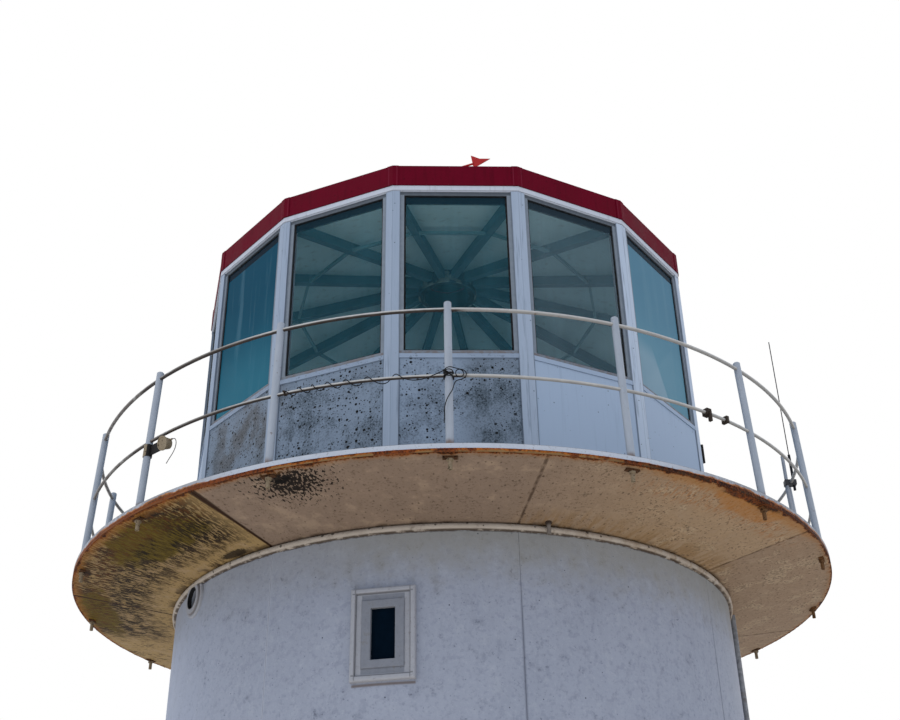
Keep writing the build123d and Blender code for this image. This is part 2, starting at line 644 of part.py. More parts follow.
# Nut plates, nuts and stud ends under the rim
nut_z = soffit_z(foot_r)
stud = slab(NUT_PLATE_L, -NUT_PLATE_D / 2, NUT_PLATE_D / 2, nut_z - NUT_PLATE_T, nut_z + SOFFIT_T / 2)
stud += Pos(0, 0, nut_z - NUT_PLATE_T - NUT_H) * extrude(RegularPolygon(NUT_R, 6), NUT_H + FUSE)
stud += disc(STUB_R, nut_z - STUB_LEN, nut_z)
stud -= disc(STUB_BORE_R, nut_z - STUB_LEN - CUT, nut_z - NUT_PLATE_T - NUT_H)
stud = Pos(0, -foot_r, 0) * stud - ring(pan_profile, -FACE_ARC / 2, FACE_ARC)
save("stanchion_nuts", Compound([place(stud, a).solid() for a in posts_az]))
save("top_rail", rail_ring(TOP_RAIL_R, TOP_RAIL_H))
save("mid_rail", rail_ring(MID_RAIL_R, MID_RAIL_H))

# Tower window
mould_r = WALL_R + MOULD_PROUD
surround = slab(WINDOW_W, WALL_R - CUT, mould_r, window_z - WINDOW_H / 2, window_z + WINDOW_H / 2)
surround -= slab(WINDOW_W - 2 * MOULD_W, WALL_R - 2 * CUT, mould_r + CUT,
                 window_z - WINDOW_H / 2 + MOULD_W, window_z + WINDOW_H / 2 - MOULD_W)
surround = fillet(surround.edges().group_by(Axis.Y)[0], MOULD_ROUND)
surround += slab(WINDOW_W - MOULD_W, WALL_R - CUT, WALL_R + BAND_PROUD,
                 window_z - WINDOW_H / 2 + MOULD_W / 2, window_z + WINDOW_H / 2 - MOULD_W / 2)
surround -= slab(CASEMENT_W, WALL_R - 2 * CUT, mould_r + CUT, casement_low, casement_high)
surround -= disc(WALL_R, window_z - WINDOW_H, window_z + WINDOW_H)
save("window_surround", place(surround, WINDOW_AZ))
casement = slab(CASEMENT_W, WALL_R - CASEMENT_IN, WALL_R + CASEMENT_PROUD, casement_low, casement_high)
casement -= slab(PANE_W, WALL_IN - CUT, WALL_R + 2 * CUT, window_z - PANE_H / 2, window_z + PANE_H / 2)
casement = fillet(casement.edges().group_by(Axis.Y)[0], CASEMENT_ROUND)
save("casement_frame", place(casement, WINDOW_AZ))
pane = slab(PANE_W, WALL_R - PANE_BACK - PANE_T, WALL_R - PANE_BACK,
            window_z - PANE_H / 2, window_z + PANE_H / 2)
save("casement_pane", place(pane, WINDOW_AZ))

# Porthole ring, cut off under the bead
port = pin(PORT_RING_R, 0, port_z, WALL_R - CUT, WALL_R + PORT_RING_PROUD)
port = fillet(port.edges().group_by(Axis.Y)[0], PORT_ROUND)
lip = pin(PORT_LIP_R, 0, port_z, WALL_R - CUT, WALL_R + PORT_LIP_PROUD)
port += fillet(lip.edges().group_by(Axis.Y)[0], PORT_ROUND)
port -= pin(PORT_R, 0, port_z, WALL_R - 2 * CUT, WALL_R + 2 * CUT)
port -= disc(WALL_R, port_z - 2 * PORT_RING_R, port_z + 2 * PORT_RING_R)
port -= slab(2 * PORT_RING_R, WALL_R - CUT, WALL_R + 2 * CUT, bead_low, bead_low + 2 * PORT_RING_R)
save("porthole_ring", place(port, PORT_AZ))

# Entrance at the back
jambs = slab(door_out, WALL_IN - DOOR_FRAME_IN, WALL_R + DOOR_FRAME_PROUD, door_low, door_high + DOOR_FRAME)
jambs -= slab(DOOR_W, WALL_IN - 2 * CUT - DOOR_FRAME_IN, WALL_R + 2 * CUT, door_low - CUT, door_high)
save("entrance_frame", place(jambs, DOOR_AZ))
door_r = WALL_R - DOOR_BACK
handle_x, handle_z = DOOR_W / 2 - HANDLE_IN, door_low + HANDLE_UP
door = slab(DOOR_W - 2 * DOOR_GAP, door_r - DOOR_T, door_r, door_low, door_high - DOOR_GAP)
door += pin(HANDLE_R, handle_x, handle_z, door_r - FUSE, door_r + HANDLE_OUT)
grip_r = door_r + HANDLE_OUT
door += block(handle_x - HANDLE_LEN, handle_x + HANDLE_R, grip_r - HANDLE_R, grip_r,
              handle_z - HANDLE_H / 2, handle_z + HANDLE_H / 2)
save("entrance_door", place(door, DOOR_AZ))

# Downpipe on the right
pipe_r = WALL_R + PIPE_OFF
pipe = Pos(0, -pipe_r, 0) * disc(PIPE_R, PLINTH_H, soffit_z(pipe_r) + SOFFIT_T)
for z in BRACKET_UPS:
    pipe += slab(BRACKET_W, WALL_R - CUT, pipe_r + PIPE_R + BRACKET_OVER, z, z + BRACKET_H)
pipe -= disc(WALL_R, PLINTH_H - CUT, WALL_TOP)
pipe -= ring(pan_profile, -FACE_ARC / 2, FACE_ARC)
pipe -= tube(bead_r + PIPE_CLEAR, WALL_R - CUT, bead_low - PIPE_CLEAR, WALL_TOP)
save("downpipe", place(pipe, PIPE_AZ).solids().sort_by(SortBy.VOLUME)[-1])

# Aerial clamped to the top rail: mast inside it, coil and whip outside
top_r = rail_r(TOP_RAIL_H)
mast_r = top_r - TOP_RAIL_R - AERIAL_GAP - MAST_R
coil_r = top_r + TOP_RAIL_R + AERIAL_GAP + COIL_R
grip_z = DECK_TOP + TOP_RAIL_H
aerial = Pos(0, -mast_r, grip_z) * disc(MAST_R, -MAST_DOWN, MAST_UP)
aerial += Pos(0, -coil_r, grip_z) * (
    disc(COIL_R, -COIL_DOWN, COIL_UP) + disc(WHIP_R, COIL_UP - FUSE, COIL_UP + WHIP_LEN))
aerial += slab(GRIP_W, mast_r - MAST_R - GRIP_T, coil_r + COIL_R + GRIP_T,
               grip_z - GRIP_H / 2, grip_z + GRIP_H / 2)
save("aerial", place(aerial, AERIAL_AZ) - rail_seats[0])

# Round lamp on an arm, clamped to a post on the left
mid_r, mid_z = rail_r(MID_RAIL_H), DECK_TOP + MID_RAIL_H
lamp_r, lamp_z = mid_r - LAMP_IN, mid_z - LAMP_DROP
lens_r, front_z = LAMP_R - LAMP_LIP, LAMP_LEN / 2
lamp = ring([
    (0, -front_z), (LAMP_BACK_R, -front_z), (LAMP_R, front_z - LAMP_LIP_H),
    (LAMP_R + LAMP_LIP, front_z - LAMP_LIP_H), (LAMP_R + LAMP_LIP, front_z), (lens_r, front_z),
    (lens_r, front_z - LENS_IN), (0, front_z - LENS_IN)])
lamp = Pos(0, -lamp_r, lamp_z) * Rot(90 + LAMP_TILT, 0, 0) * lamp
lamp_post_az = POST_ARC * (LAMP_POST - POSTS)
arm_turn = radians(lamp_post_az - LAMP_AZ)
arm_out = mid_r * cos(arm_turn)
lamp += block(mid_r * sin(arm_turn), 0, arm_out - ARM_T / 2, arm_out + ARM_T / 2,
              lamp_z - ARM_H / 2, lamp_z + ARM_H / 2)
collar_up = MID_RAIL_H - LAMP_DROP
collar = disc(POST_R + COLLAR_T, collar_up - COLLAR_H / 2, collar_up + COLLAR_H / 2)
lamp = place(lamp, LAMP_AZ) + place(on_post(collar), lamp_post_az)
lamp -= place(on_post(disc(POST_R + RAIL_SEAT, -CUT, POST_H)), lamp_post_az)

# Cords: a round tube along straight runs and tangent arcs
def cord_path(route):
    # every arc is as large as its two runs allow
    runs = [b - a for a, b in zip(route, route[1:])]
    radii = [0.45 * min(a.length, b.length) / tan(radians(a.get_angle(b)) / 2)
             for a, b in zip(runs, runs[1:])]
    return FilletPolyline(*route, radius=radii), radii


def cord(name, radius, route):
    path, radii = cord_path(route)
    solid = sweep(Plane(route[0], z_dir=route[1] - route[0]) * Circle(radius), path)
    print(name, "smallest radius %.1f," % min(radii), "length %.0f," % path.length,
          "volume over section times length %.4f" % (solid.volume / (pi * radius ** 2 * path.length)))
    save(name, solid)


def ferrule(radius, length, route):
    # a short sleeve that the cord leaves, in line with its first run
    return Plane(route[0], z_dir=route[1] - route[0]) * Pos(0, 0, -length / 2) * Cylinder(radius, length)


# Wire of the lamp, and the lamp with the sleeve that the wire leaves
def by_lamp(along, out, up):
    return place(Pos(along, -(lamp_r + out), lamp_z + up), LAMP_AZ).position


wire_route = [by_lamp(*point) for point in WIRE_ROUTE]
save("rail_lamp", lamp + ferrule(WIRE_SLEEVE_R, WIRE_SLEEVE_LEN, wire_route))
cord("lamp_wire", WIRE_R, wire_route)


# Cable that winds along the mid rail and hangs down before the front post
def by_rail(az, out, up):
    return place(Pos(0, -(mid_r + out), mid_z + up), az).position


cable_route = [by_rail(*point) for point in CABLE_ROUTE]
cord("rail_cable", CABLE_R, cable_route)

# Two small clamps on the mid rail, and the tie that holds the cable's end
clamps = []
for az, width in ((CLAMP_AZ, CLAMP_W), (SMALL_CLAMP_AZ, SMALL_CLAMP_W)):
    reach = MID_RAIL_R + CLAMP_T
    clamp = slab(width, mid_r - reach, mid_r + reach, mid_z - reach, mid_z + reach)
    if az == CLAMP_AZ:
        clamp += slab(TONGUE_W, mid_r + MID_RAIL_R + RAIL_SEAT, mid_r + TONGUE_OUT,
                      mid_z - reach - TONGUE_H, mid_z)
    clamps.append((place(clamp, az) - rail_seats[1]).solid())
start_az, start_out = CABLE_ROUTE[0][:2]
tie = Pos(0, -mid_r, mid_z) * Rot(0, 90, 0) * Cylinder(MID_RAIL_R + TIE_T, TIE_W)
tie += slab(TIE_W / 2, mid_r, mid_r + start_out, mid_z - TIE_T, mid_z + TIE_T)
tie = place(tie, start_az - degrees(TIE_W / 2 / (mid_r + start_out)))
tie = tie + ferrule(TIE_SLEEVE_R, TIE_W, cable_route) - rail_seats[1]
clamps.append(tie.solid())
save("rail_clamp", Compound(clamps))
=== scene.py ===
import math

import bpy
from mathutils import Matrix, Vector


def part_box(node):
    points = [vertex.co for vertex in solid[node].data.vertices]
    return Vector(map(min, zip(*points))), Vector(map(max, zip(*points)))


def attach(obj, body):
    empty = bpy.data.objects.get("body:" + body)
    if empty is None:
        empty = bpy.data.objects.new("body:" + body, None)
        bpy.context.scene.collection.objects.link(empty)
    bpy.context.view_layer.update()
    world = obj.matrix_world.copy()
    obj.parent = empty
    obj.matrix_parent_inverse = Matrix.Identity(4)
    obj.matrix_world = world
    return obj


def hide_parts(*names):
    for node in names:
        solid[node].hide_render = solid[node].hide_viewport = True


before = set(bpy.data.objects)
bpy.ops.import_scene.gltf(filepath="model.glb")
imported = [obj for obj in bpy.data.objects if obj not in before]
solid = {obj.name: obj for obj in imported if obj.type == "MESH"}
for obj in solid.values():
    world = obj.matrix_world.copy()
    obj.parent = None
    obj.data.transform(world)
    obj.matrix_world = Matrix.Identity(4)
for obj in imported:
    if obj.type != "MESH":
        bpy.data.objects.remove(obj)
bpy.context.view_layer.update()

# Where the tower is seen from
# A visitor stands 8.9 m in front of the tower's axis with the camera at eye height,
# and tilts it up by 30 degrees so that the lantern fills the middle of the picture.
STAND_OFF, EYE_HEIGHT = 8.9288, 1.6765
TILT, LEAN, SWING = 30.51, -1.02, 0.09
FRAME_WIDTH, FOCAL_LENGTH, FARTHEST = 36.0, 47.327, 200.0
tilt, lean, swing = [math.radians(angle) for angle in (TILT, LEAN, SWING)]
ahead = Vector((math.sin(swing) * math.cos(tilt), math.cos(swing) * math.cos(tilt), math.sin(tilt)))
level = Vector((math.cos(swing), -math.sin(swing), 0.0))
over = level.cross(ahead)
right = level * math.cos(lean) + over * math.sin(lean)
upward = over * math.cos(lean) - level * math.sin(lean)
lens = bpy.data.cameras.new("visitor_camera")
lens.sensor_fit, lens.sensor_width, lens.lens = "HORIZONTAL", FRAME_WIDTH, FOCAL_LENGTH
lens.clip_end = FARTHEST
camera = bpy.data.objects.new("visitor_camera", lens)
camera.matrix_world = Matrix((
    (right.x, upward.x, -ahead.x, 0.0), (right.y, upward.y, -ahead.y, -STAND_OFF),
    (right.z, upward.z, -ahead.z, EYE_HEIGHT), (0.0, 0.0, 0.0, 1.0)))
bpy.context.scene.collection.objects.link(camera)
bpy.context.scene.camera = camera
bpy.context.scene.view_settings.view_transform = "Standard"


# Studio floor, backdrop and light
# A pale matt floor under the tower and an open white studio around it. A wide soft lamp
# high on the left is the bright part of the sky, and a warm one at the floor is sunlit ground.
class Wire:
    # the output of a shader node; + - * / ** on it add Math nodes to its tree
    def __init__(self, tree, socket=None):
        self.tree, self.socket = tree, socket

    def node(self, kind, sockets=(), out=0, **settings):
        made = self.tree.nodes.new(kind)
        for name, value in settings.items():
            setattr(made, name, value)
        for name, value in dict(sockets).items():
            if isinstance(value, Wire):
                self.tree.links.new(value.socket, made.inputs[name])
            else:
                made.inputs[name].default_value = value
        return Wire(self.tree, made.outputs[out] if len(made.outputs) else None)

    def maths(self, operation, a, b=0.0):
        return self.node("ShaderNodeMath", {0: a, 1: b}, operation=operation)

    def __add__(self, other):
        return self.maths("ADD", self, other)

    def __sub__(self, other):
        return self.maths("SUBTRACT", self, other)

    def __rsub__(self, other):
        return self.maths("SUBTRACT", other, self)

    def __mul__(self, other):
        return self.maths("MULTIPLY", self, other)

    def __truediv__(self, other):
        return self.maths("DIVIDE", self, other)

    def __rtruediv__(self, other):
        return self.maths("DIVIDE", other, self)

    def __pow__(self, other):
        return self.maths("POWER", self, other)

    def __abs__(self):
        return self.maths("ABSOLUTE", self)

    __radd__, __rmul__ = __add__, __mul__


def rgb(r, g, b):
    # a colour given from 0 to 255, as linear light
    return tuple((v / 255 / 12.92 if v < 10.3 else ((v / 255 + 0.055) / 1.055) ** 2.4)
                 for v in (r, g, b)) + (1.0,)


def mix(part, under, on_top):
    # one colour over another; part is how much of the upper one shows
    return part.node("ShaderNodeMix", {0: part, 6: under, 7: on_top}, out=2, data_type="RGBA")


def cloud(where, scale, detail=3.0, rough=0.55):
    # a soft random pattern round 0.5, with about scale spots to the metre
    return where.node("ShaderNodeTexNoise", {"Vector": where, "Scale": scale, "Detail": detail,
                                             "Roughness": rough})


def finish(name):
    # a new material, and where a point of it is in the frame, from which its pattern starts
    made = bpy.data.materials.new(name)
    made.use_nodes = True
    made.node_tree.nodes.clear()
    return made, Wire(made.node_tree).node("ShaderNodeTexCoord", out=3)


def surface(at, colour, gloss, relief=None, height=0.001, **fixed):
    # the one shader of a finish; relief is a pattern that stands up by height, in metres
    sockets = {"Base Color": colour, "Roughness": gloss, "Specular IOR Level": 0.12}
    if relief is not None:
        sockets["Normal"] = at.node(
            "ShaderNodeBump", {"Height": relief, "Distance": height, "Strength": 1.0})
    sockets.update(fixed)
    shader = at.node("ShaderNodeBsdfPrincipled", sockets)
    at.node("ShaderNodeOutputMaterial", {"Surface": shader})


FLOOR_R, FLOOR_SIDES = 30, 48
floor_paint, at = finish("studio_floor")
surface(at, mix(cloud(at, 0.4), rgb(216, 213, 207), rgb(224, 221, 215)), 0.8)


def turned(azimuth, along, out, up):
    # a point that is so far along and out on the side that faces this azimuth
    a = math.radians(azimuth)
    return (out * math.sin(a) + along * math.cos(a), along * math.sin(a) - out * math.cos(a), up)


floor_mesh = bpy.data.meshes.new("studio_floor")
floor_edge = [turned(360 / FLOOR_SIDES * k, 0.0, FLOOR_R, 0.0) for k in range(FLOOR_SIDES)]
floor_mesh.from_pydata(floor_edge, [], [list(range(FLOOR_SIDES))])
floor_mesh.materials.append(floor_paint)
studio_floor = bpy.data.objects.new("studio_floor", floor_mesh)
bpy.context.scene.collection.objects.link(studio_floor)


def most(first, *others):
    # the largest of these masks at each point
    for other in others:
        first = first.maths("MAXIMUM", first, other)
    return first


world = bpy.data.worlds.new("white_studio")
world.use_nodes = True
world.node_tree.nodes.clear()
bpy.context.scene.world = world
start = Wire(world.node_tree)
seen_directly, mirrored, seen_through = [
    start.node("ShaderNodeLightPath", out=kind)
    for kind in ("Is Camera Ray", "Is Glossy Ray", "Is Transmission Ray")]
plain = most(seen_directly, mirrored * 0.8, seen_through)
light = start.node("ShaderNodeBackground", {"Color": rgb(226, 234, 250), "Strength": 0.86})
white = start.node("ShaderNodeBackground", {"Color": (1.0, 1.0, 1.0, 1.0), "Strength": 1.0})
sky = start.node("ShaderNodeMixShader", {0: plain, 1: light, 2: white})
start.node("ShaderNodeOutputWorld", {"Surface": sky})

lamp_data = bpy.data.lights.new("high_soft_lamp", "SUN")
lamp_data.energy, lamp_data.angle, lamp_data.color = 0.55, math.radians(70), (1.0, 0.98, 0.95)
high_lamp = bpy.data.objects.new("high_soft_lamp", lamp_data)
high_lamp.rotation_euler = Vector((0.45, 0.35, -0.82)).to_track_quat("-Z", "Y").to_euler()
bpy.context.scene.collection.objects.link(high_lamp)

ground_data = bpy.data.lights.new("warm_ground_light", "AREA")
ground_data.shape, ground_data.size, ground_data.energy = "DISK", 15.0, 360.0
ground_data.color = (1.0, 0.84, 0.66)
ground_light = bpy.data.objects.new("warm_ground_light", ground_data)
ground_light.location = (0.0, -1.0, 0.02)
ground_light.rotation_euler = (math.pi, 0.0, 0.0)
ground_light.visible_camera = ground_light.visible_glossy = ground_light.visible_transmission = False
bpy.context.scene.collection.objects.link(ground_light)


# Plinth
# A round slab of cast concrete that the shaft is bolted down to, left as it came from its
# shuttering, with a damp green foot.
def rise(value, start, end):
    # 0 before start, 1 after end, smooth between them; start may be the larger one
    return value.node("ShaderNodeMapRange", {0: value, 1: start, 2: end}, interpolation_type="SMOOTHSTEP")


def coat(made, *names):
    # gives a finish to parts of the solid model
    for name in names:
        solid[name].material_slots[0].material = made


def height_of(at):
    return at.node("ShaderNodeSeparateXYZ", {0: at}, out=2)


plinth_cast, at = finish("cast_concrete")
z = height_of(at)
grain = cloud(at, 55.0, 4.0)
body = mix(cloud(at, 3.0, 4.0), rgb(128, 127, 121), rgb(158, 157, 151))
body = mix(rise(grain, 0.45, 0.7) * 0.35, body, rgb(92, 92, 88))
body = mix(rise(z + cloud(at, 7.0) * 0.12, 0.17, 0.05) * 0.6, body, rgb(78, 84, 62))
surface(at, body, 0.85, grain + cloud(at, 9.0), 0.003)
coat(plinth_cast, "base_plinth")


# Tower shaft
# Eight curved plates bolted together from inside and painted white many times. The paint is
# rough and mottled, with scuffs, small dark spots and faint grey runs down from the bead.
RADIAN = 57.29578  # degrees
WALL_R, BEAD_LOW = 2.090, 4.484
WALL_DEGREE = 0.0365  # metres round the wall
LEFT_JOINT, PLATE_ARC = -33.5, 45.0
BACK_JOINT = LEFT_JOINT - 3 * PLATE_ARC
CASEMENT_AZ, CASEMENT_Z = -11.4, 3.85
SURROUND_FOOT = 3.552


def plan_of(at):
    # the two coordinates of a point seen from above
    return [at.node("ShaderNodeSeparateXYZ", {0: at}, out=k) for k in range(2)]


def radius_of(at):
    x, y = plan_of(at)
    return (x * x + y * y) ** 0.5


def azimuth_of(at):
    # in degrees from the front, growing towards the right
    x, y = plan_of(at)
    return x.maths("ARCTAN2", x, y * -1.0) * RADIAN


def upright(at, squeeze):
    # the point with its height squeezed, which draws a pattern out upright
    return at.node("ShaderNodeVectorMath", {0: at, 1: (1.0, 1.0, squeeze)}, operation="MULTIPLY")


def point(x, y, z=0.0):
    return x.node("ShaderNodeCombineXYZ", {0: x, 1: y, 2: z})


def near(value, centre, half, soft):
    # 1 within half of the centre, fading to 0 over the next soft
    return rise(abs(value - centre), half + soft, half)


def specks(flat, scale, size, share=1.0):
    # a round spot in about a share of the cells of a flat map, each of its own size
    away, cell = [flat.node("ShaderNodeTexVoronoi", {"Vector": flat, "Scale": scale}, out=k,
                            voronoi_dimensions="2D") for k in range(2)]
    breadth, chance = [cell.node("ShaderNodeSeparateColor", {0: cell}, out=k) for k in range(2)]
    limit = (breadth * 0.65 + 0.35) * size
    return rise(away, limit, limit * 0.7) * rise(chance, share, share - 0.01)


def steps(azimuth, first, arc):
    # degrees from the nearest of the evenly spaced joints
    count = (azimuth - first) / arc
    return abs(count - count.maths("ROUND", count)) * arc


def round_back(azimuth):
    # the azimuth, run on past the back as far as the joint there, so no stain breaks off in a plate
    return azimuth + azimuth.maths("LESS_THAN", azimuth, BACK_JOINT) * 360.0


wall_paint, at = finish("tower_white")
azimuth, radius, z = round_back(azimuth_of(at)), radius_of(at), height_of(at)
flat = point(azimuth * WALL_DEGREE, z)
runs = cloud(upright(at, 0.22), 15.0, 4.0, 0.65)
mottle = cloud(at, 1.7, 5.0, 0.62)
blotch = cloud(at, 9.0, 5.0, 0.72)
grit = cloud(at, 46.0, 4.0, 0.7)
# mottled white with grey runs, darker and paler blotches and grit, and painted sky light that makes the left
# paler
body = mix(mottle, rgb(144, 152, 168), rgb(164, 171, 186))
body = mix(rise(runs, 0.50, 0.72) * 0.12, body, rgb(120, 127, 141))
body = mix(rise(cloud(at, 24.0, 3.0, 0.6), 0.52, 0.66) * 0.24, body, rgb(112, 120, 140))
body = mix(rise(blotch, 0.54, 0.70) * 0.38, body, rgb(112, 119, 134))
body = mix(rise(blotch, 0.46, 0.32) * 0.28, body, rgb(172, 179, 190))
body = mix(rise(grit, 0.55, 0.72) * 0.40, body, rgb(104, 111, 126))
body = mix(rise(grit, 0.44, 0.30) * 0.30, body, rgb(178, 184, 196))
body = mix(rise(blotch * grit, 0.35, 0.43) * 0.55, body, rgb(84, 90, 106))
# painted light: the left of the wall is paler and bluer, as sky light on that side makes it
left_sky_light = near(azimuth, -85.0, 10.0, 38.0)
body = mix(left_sky_light * 0.30, body, rgb(186, 200, 226))
# painted light: the top of the wall under the bead is warmer, as light thrown back from the soffit makes it
under_bead = rise(z + (blotch - 0.5) * 0.5, BEAD_LOW - 0.434, BEAD_LOW - 0.004)
soffit_bounce_top = under_bead * (0.62 - near(azimuth, -60.0, 24.0, 30.0) * 0.40)
body = mix(soffit_bounce_top, body, mix(grit, rgb(136, 136, 124), rgb(160, 158, 146)))
# small dark spots of two sizes
body = mix(specks(flat, 5.0, 0.028, 0.40) * 0.8, body, rgb(40, 46, 62))
body = mix(specks(flat, 13.0, 0.06, 0.30) * 0.5, body, rgb(70, 78, 98))
# the joints: one pale and thin on the left, one soft and grey near the middle
off_joint = steps(azimuth, LEFT_JOINT, PLATE_ARC) + grit * 0.05
pale_joint = near(azimuth, LEFT_JOINT, 4.0, 1.0)
body = mix(rise(off_joint, 0.24, 0.08) * pale_joint * 0.55, body, rgb(186, 192, 202))
grey_joint = rise(off_joint, 0.42, 0.06) * (1.0 - pale_joint) * rise(z + blotch * 0.5, 4.62, 4.05)
body = mix(grey_joint * 0.5, body, rgb(92, 98, 112))
# drips from the bead, painted shadow and a brown run below the surround, painted shade on the inside faces
# and flanges, and a splashed foot
drip = rise(z - grit * 0.016, BEAD_LOW - 0.018, BEAD_LOW - 0.010) * rise(blotch, 0.38, 0.52)
body = mix(drip * 0.75, body, rgb(62, 46, 34))
# painted shadow: a thin dark brown line under the foot of the surround, with a brown run in it
under_surround = near(azimuth, CASEMENT_AZ, 5.2, 0.25) * near(z, SURROUND_FOOT, 0.002, 0.012)
body = mix(under_surround * 0.70, body, rgb(98, 80, 62))
# painted shade: the inside faces and flanges of the plates are near black
body = mix(rise(radius, WALL_R - 0.010, WALL_R - 0.025) * 0.9, body, rgb(26, 28, 32))
splash = rise(z + cloud(at, 5.0) * 0.5, 1.15, 0.45)
body = mix(splash * 0.55, body, rgb(104, 108, 92))
wave = cloud(upright(at, 0.7), 1.4, 2.0)
surface(at, body, rise(mottle, 0.2, 0.9) * 0.2 + 0.45, grit * 0.8 + blotch * 0.9 + wave * 2.0, 0.0022)
coat(wall_paint, *["tower_wall_%d" % k for k in range(1, 9)])


# Tower window, porthole and entrance
# A small casement in a rounded picture frame moulding, an open porthole in a stepped ring
# under the bead, and a plain steel door at the back, all in the same white paint.
CASEMENT_HALF, CASEMENT_TALL, SURROUND_TALL = 3.55, 0.235, 0.27
PORTHOLE_AZ, PORTHOLE_Z, PORTHOLE_R, PORTHOLE_LIP = -57.4, 4.41, 0.080, 0.100


def apart(azimuth, z, az, height):
    # metres on the wall from this azimuth and height
    along, up = (azimuth - az) * WALL_DEGREE, z - height
    return (along * along + up * up) ** 0.5


trim_paint, at = finish("trim_white")
azimuth, z = azimuth_of(at), height_of(at)
flat = point(azimuth * WALL_DEGREE, z)
grit = cloud(at, 60.0, 4.0, 0.7)
worn = cloud(at, 22.0, 4.0, 0.7)
in_casement = near(azimuth, CASEMENT_AZ, CASEMENT_HALF, 0.1) * near(z, CASEMENT_Z, CASEMENT_TALL, 0.01)
body = mix(worn, rgb(146, 150, 158), rgb(174, 177, 184))
body = mix(in_casement, body, mix(worn, rgb(112, 117, 127), rgb(140, 145, 154)))
body = mix(rise(worn, 0.56, 0.72) * 0.45, body, rgb(104, 98, 92))
body = mix(rise(grit, 0.58, 0.72) * 0.35, body, rgb(92, 92, 94))
body = mix(specks(flat, 30.0, 0.12, 0.15) * 0.5, body, rgb(70, 66, 62))
# painted shade in the groove round the casement and in the bore of the open porthole, and a brown band on the
# step of its ring
groove = near(abs(azimuth - CASEMENT_AZ), 4.55, 0.06, 0.10) + near(abs(z - CASEMENT_Z), 0.2475, 0.003, 0.004)
in_surround = near(azimuth, CASEMENT_AZ, 5.0, 0.1) * near(z, CASEMENT_Z, SURROUND_TALL, 0.01)
# painted shade: a dark line in the groove round the casement
body = mix(in_surround * rise(groove, 0.2, 1.0) * 0.55, body, rgb(84, 84, 88))
off_port = apart(azimuth, z, PORTHOLE_AZ, PORTHOLE_Z)
# painted shade: the bore of the open porthole is near black
body = mix(rise(off_port, PORTHOLE_R, PORTHOLE_R - 0.006) * 0.95, body, rgb(7, 7, 8))
port_step = rise(off_port, PORTHOLE_LIP, PORTHOLE_LIP + 0.009) * rise(off_port, 0.122, 0.112)
body = mix(port_step * 0.5, body, rgb(86, 74, 64))
surface(at, body, 0.5, grit * 0.6 + worn * 0.8, 0.0016)
coat(trim_paint, "window_surround", "casement_frame", "porthole_ring", "entrance_frame")

DOOR_AZ, DOOR_FACE_R = 169.0, 2.065
door_paint, at = finish("door_white")
x, y = plan_of(at)
z = height_of(at)
body = mix(cloud(at, 3.0, 4.0), rgb(140, 146, 157), rgb(156, 162, 173))
body = mix(rise(z + cloud(at, 6.0) * 0.3, 0.62, 0.30) * 0.6, body, rgb(108, 92, 72))
body = mix(specks(point(x, z), 18.0, 0.15, 0.4) * 0.7, body, rgb(110, 62, 34))
# the handle stands out from the face, and is dark
door_turn = math.radians(DOOR_AZ)
from_axis = x * math.sin(door_turn) - y * math.cos(door_turn)
body = mix(rise(from_axis, DOOR_FACE_R + 0.003, DOOR_FACE_R + 0.006), body, rgb(84, 86, 90))
surface(at, body, 0.5, cloud(at, 60.0, 3.0), 0.0015)
coat(door_paint, "entrance_door")

pane_glass, at = finish("dark_pane")
film = cloud(at, 18.0, 3.0)
surface(at, mix(film, rgb(4, 13, 23), rgb(9, 24, 38)), rise(film, 0.2, 0.9) * 0.12 + 0.06, IOR=1.06)
coat(pane_glass, "casement_pane")


# Gallery bead and soffit
# Eight folded steel pans carry the gallery. Their undersides were cream, and are now
# stained by rust at the rim, algae on the left and black mould that follows the water.
BEAD_TOP = 4.531
bead_paint, at = finish("bead_cream")
azimuth, z = azimuth_of(at), height_of(at)
body = mix(cloud(at, 6.0, 4.0), rgb(160, 151, 140), rgb(190, 182, 171))
browned = near(azimuth, 80.0, 40.0, 32.0) * rise(cloud(at, 11.0, 4.0), 0.35, 0.60)
body = mix(browned * 0.45, body, rgb(132, 108, 78))
body = mix(rise(cloud(at, 22.0, 4.0, 0.7), 0.54, 0.72) * 0.5, body, rgb(92, 78, 62))
top_dirt = rise(z, BEAD_TOP - 0.010, BEAD_TOP - 0.002) * rise(cloud(at, 5.0, 4.0), 0.35, 0.6)
body = mix(top_dirt * 0.7, body, rgb(66, 54, 44))
# painted shade and dirt: a broken dark line along the foot of the bead, where it turns under
foot_shade_and_dirt = rise(z, BEAD_LOW + 0.009, BEAD_LOW + 0.002) * rise(cloud(at, 14.0, 4.0, 0.7), 0.34, 0.52)
body = mix(foot_shade_and_dirt * 0.85, body, rgb(52, 38, 28))
body = mix(specks(point(azimuth * WALL_DEGREE, z), 16.0, 0.2, 0.4) * 0.8, body, rgb(48, 40, 34))
surface(at, body, 0.6, cloud(at, 70.0, 4.0), 0.002)
coat(bead_paint, "cornice_bead")

PAN_DEGREE = 0.045  # metres round the soffit
RIM_R, RIM_LOW = 2.850, 4.650
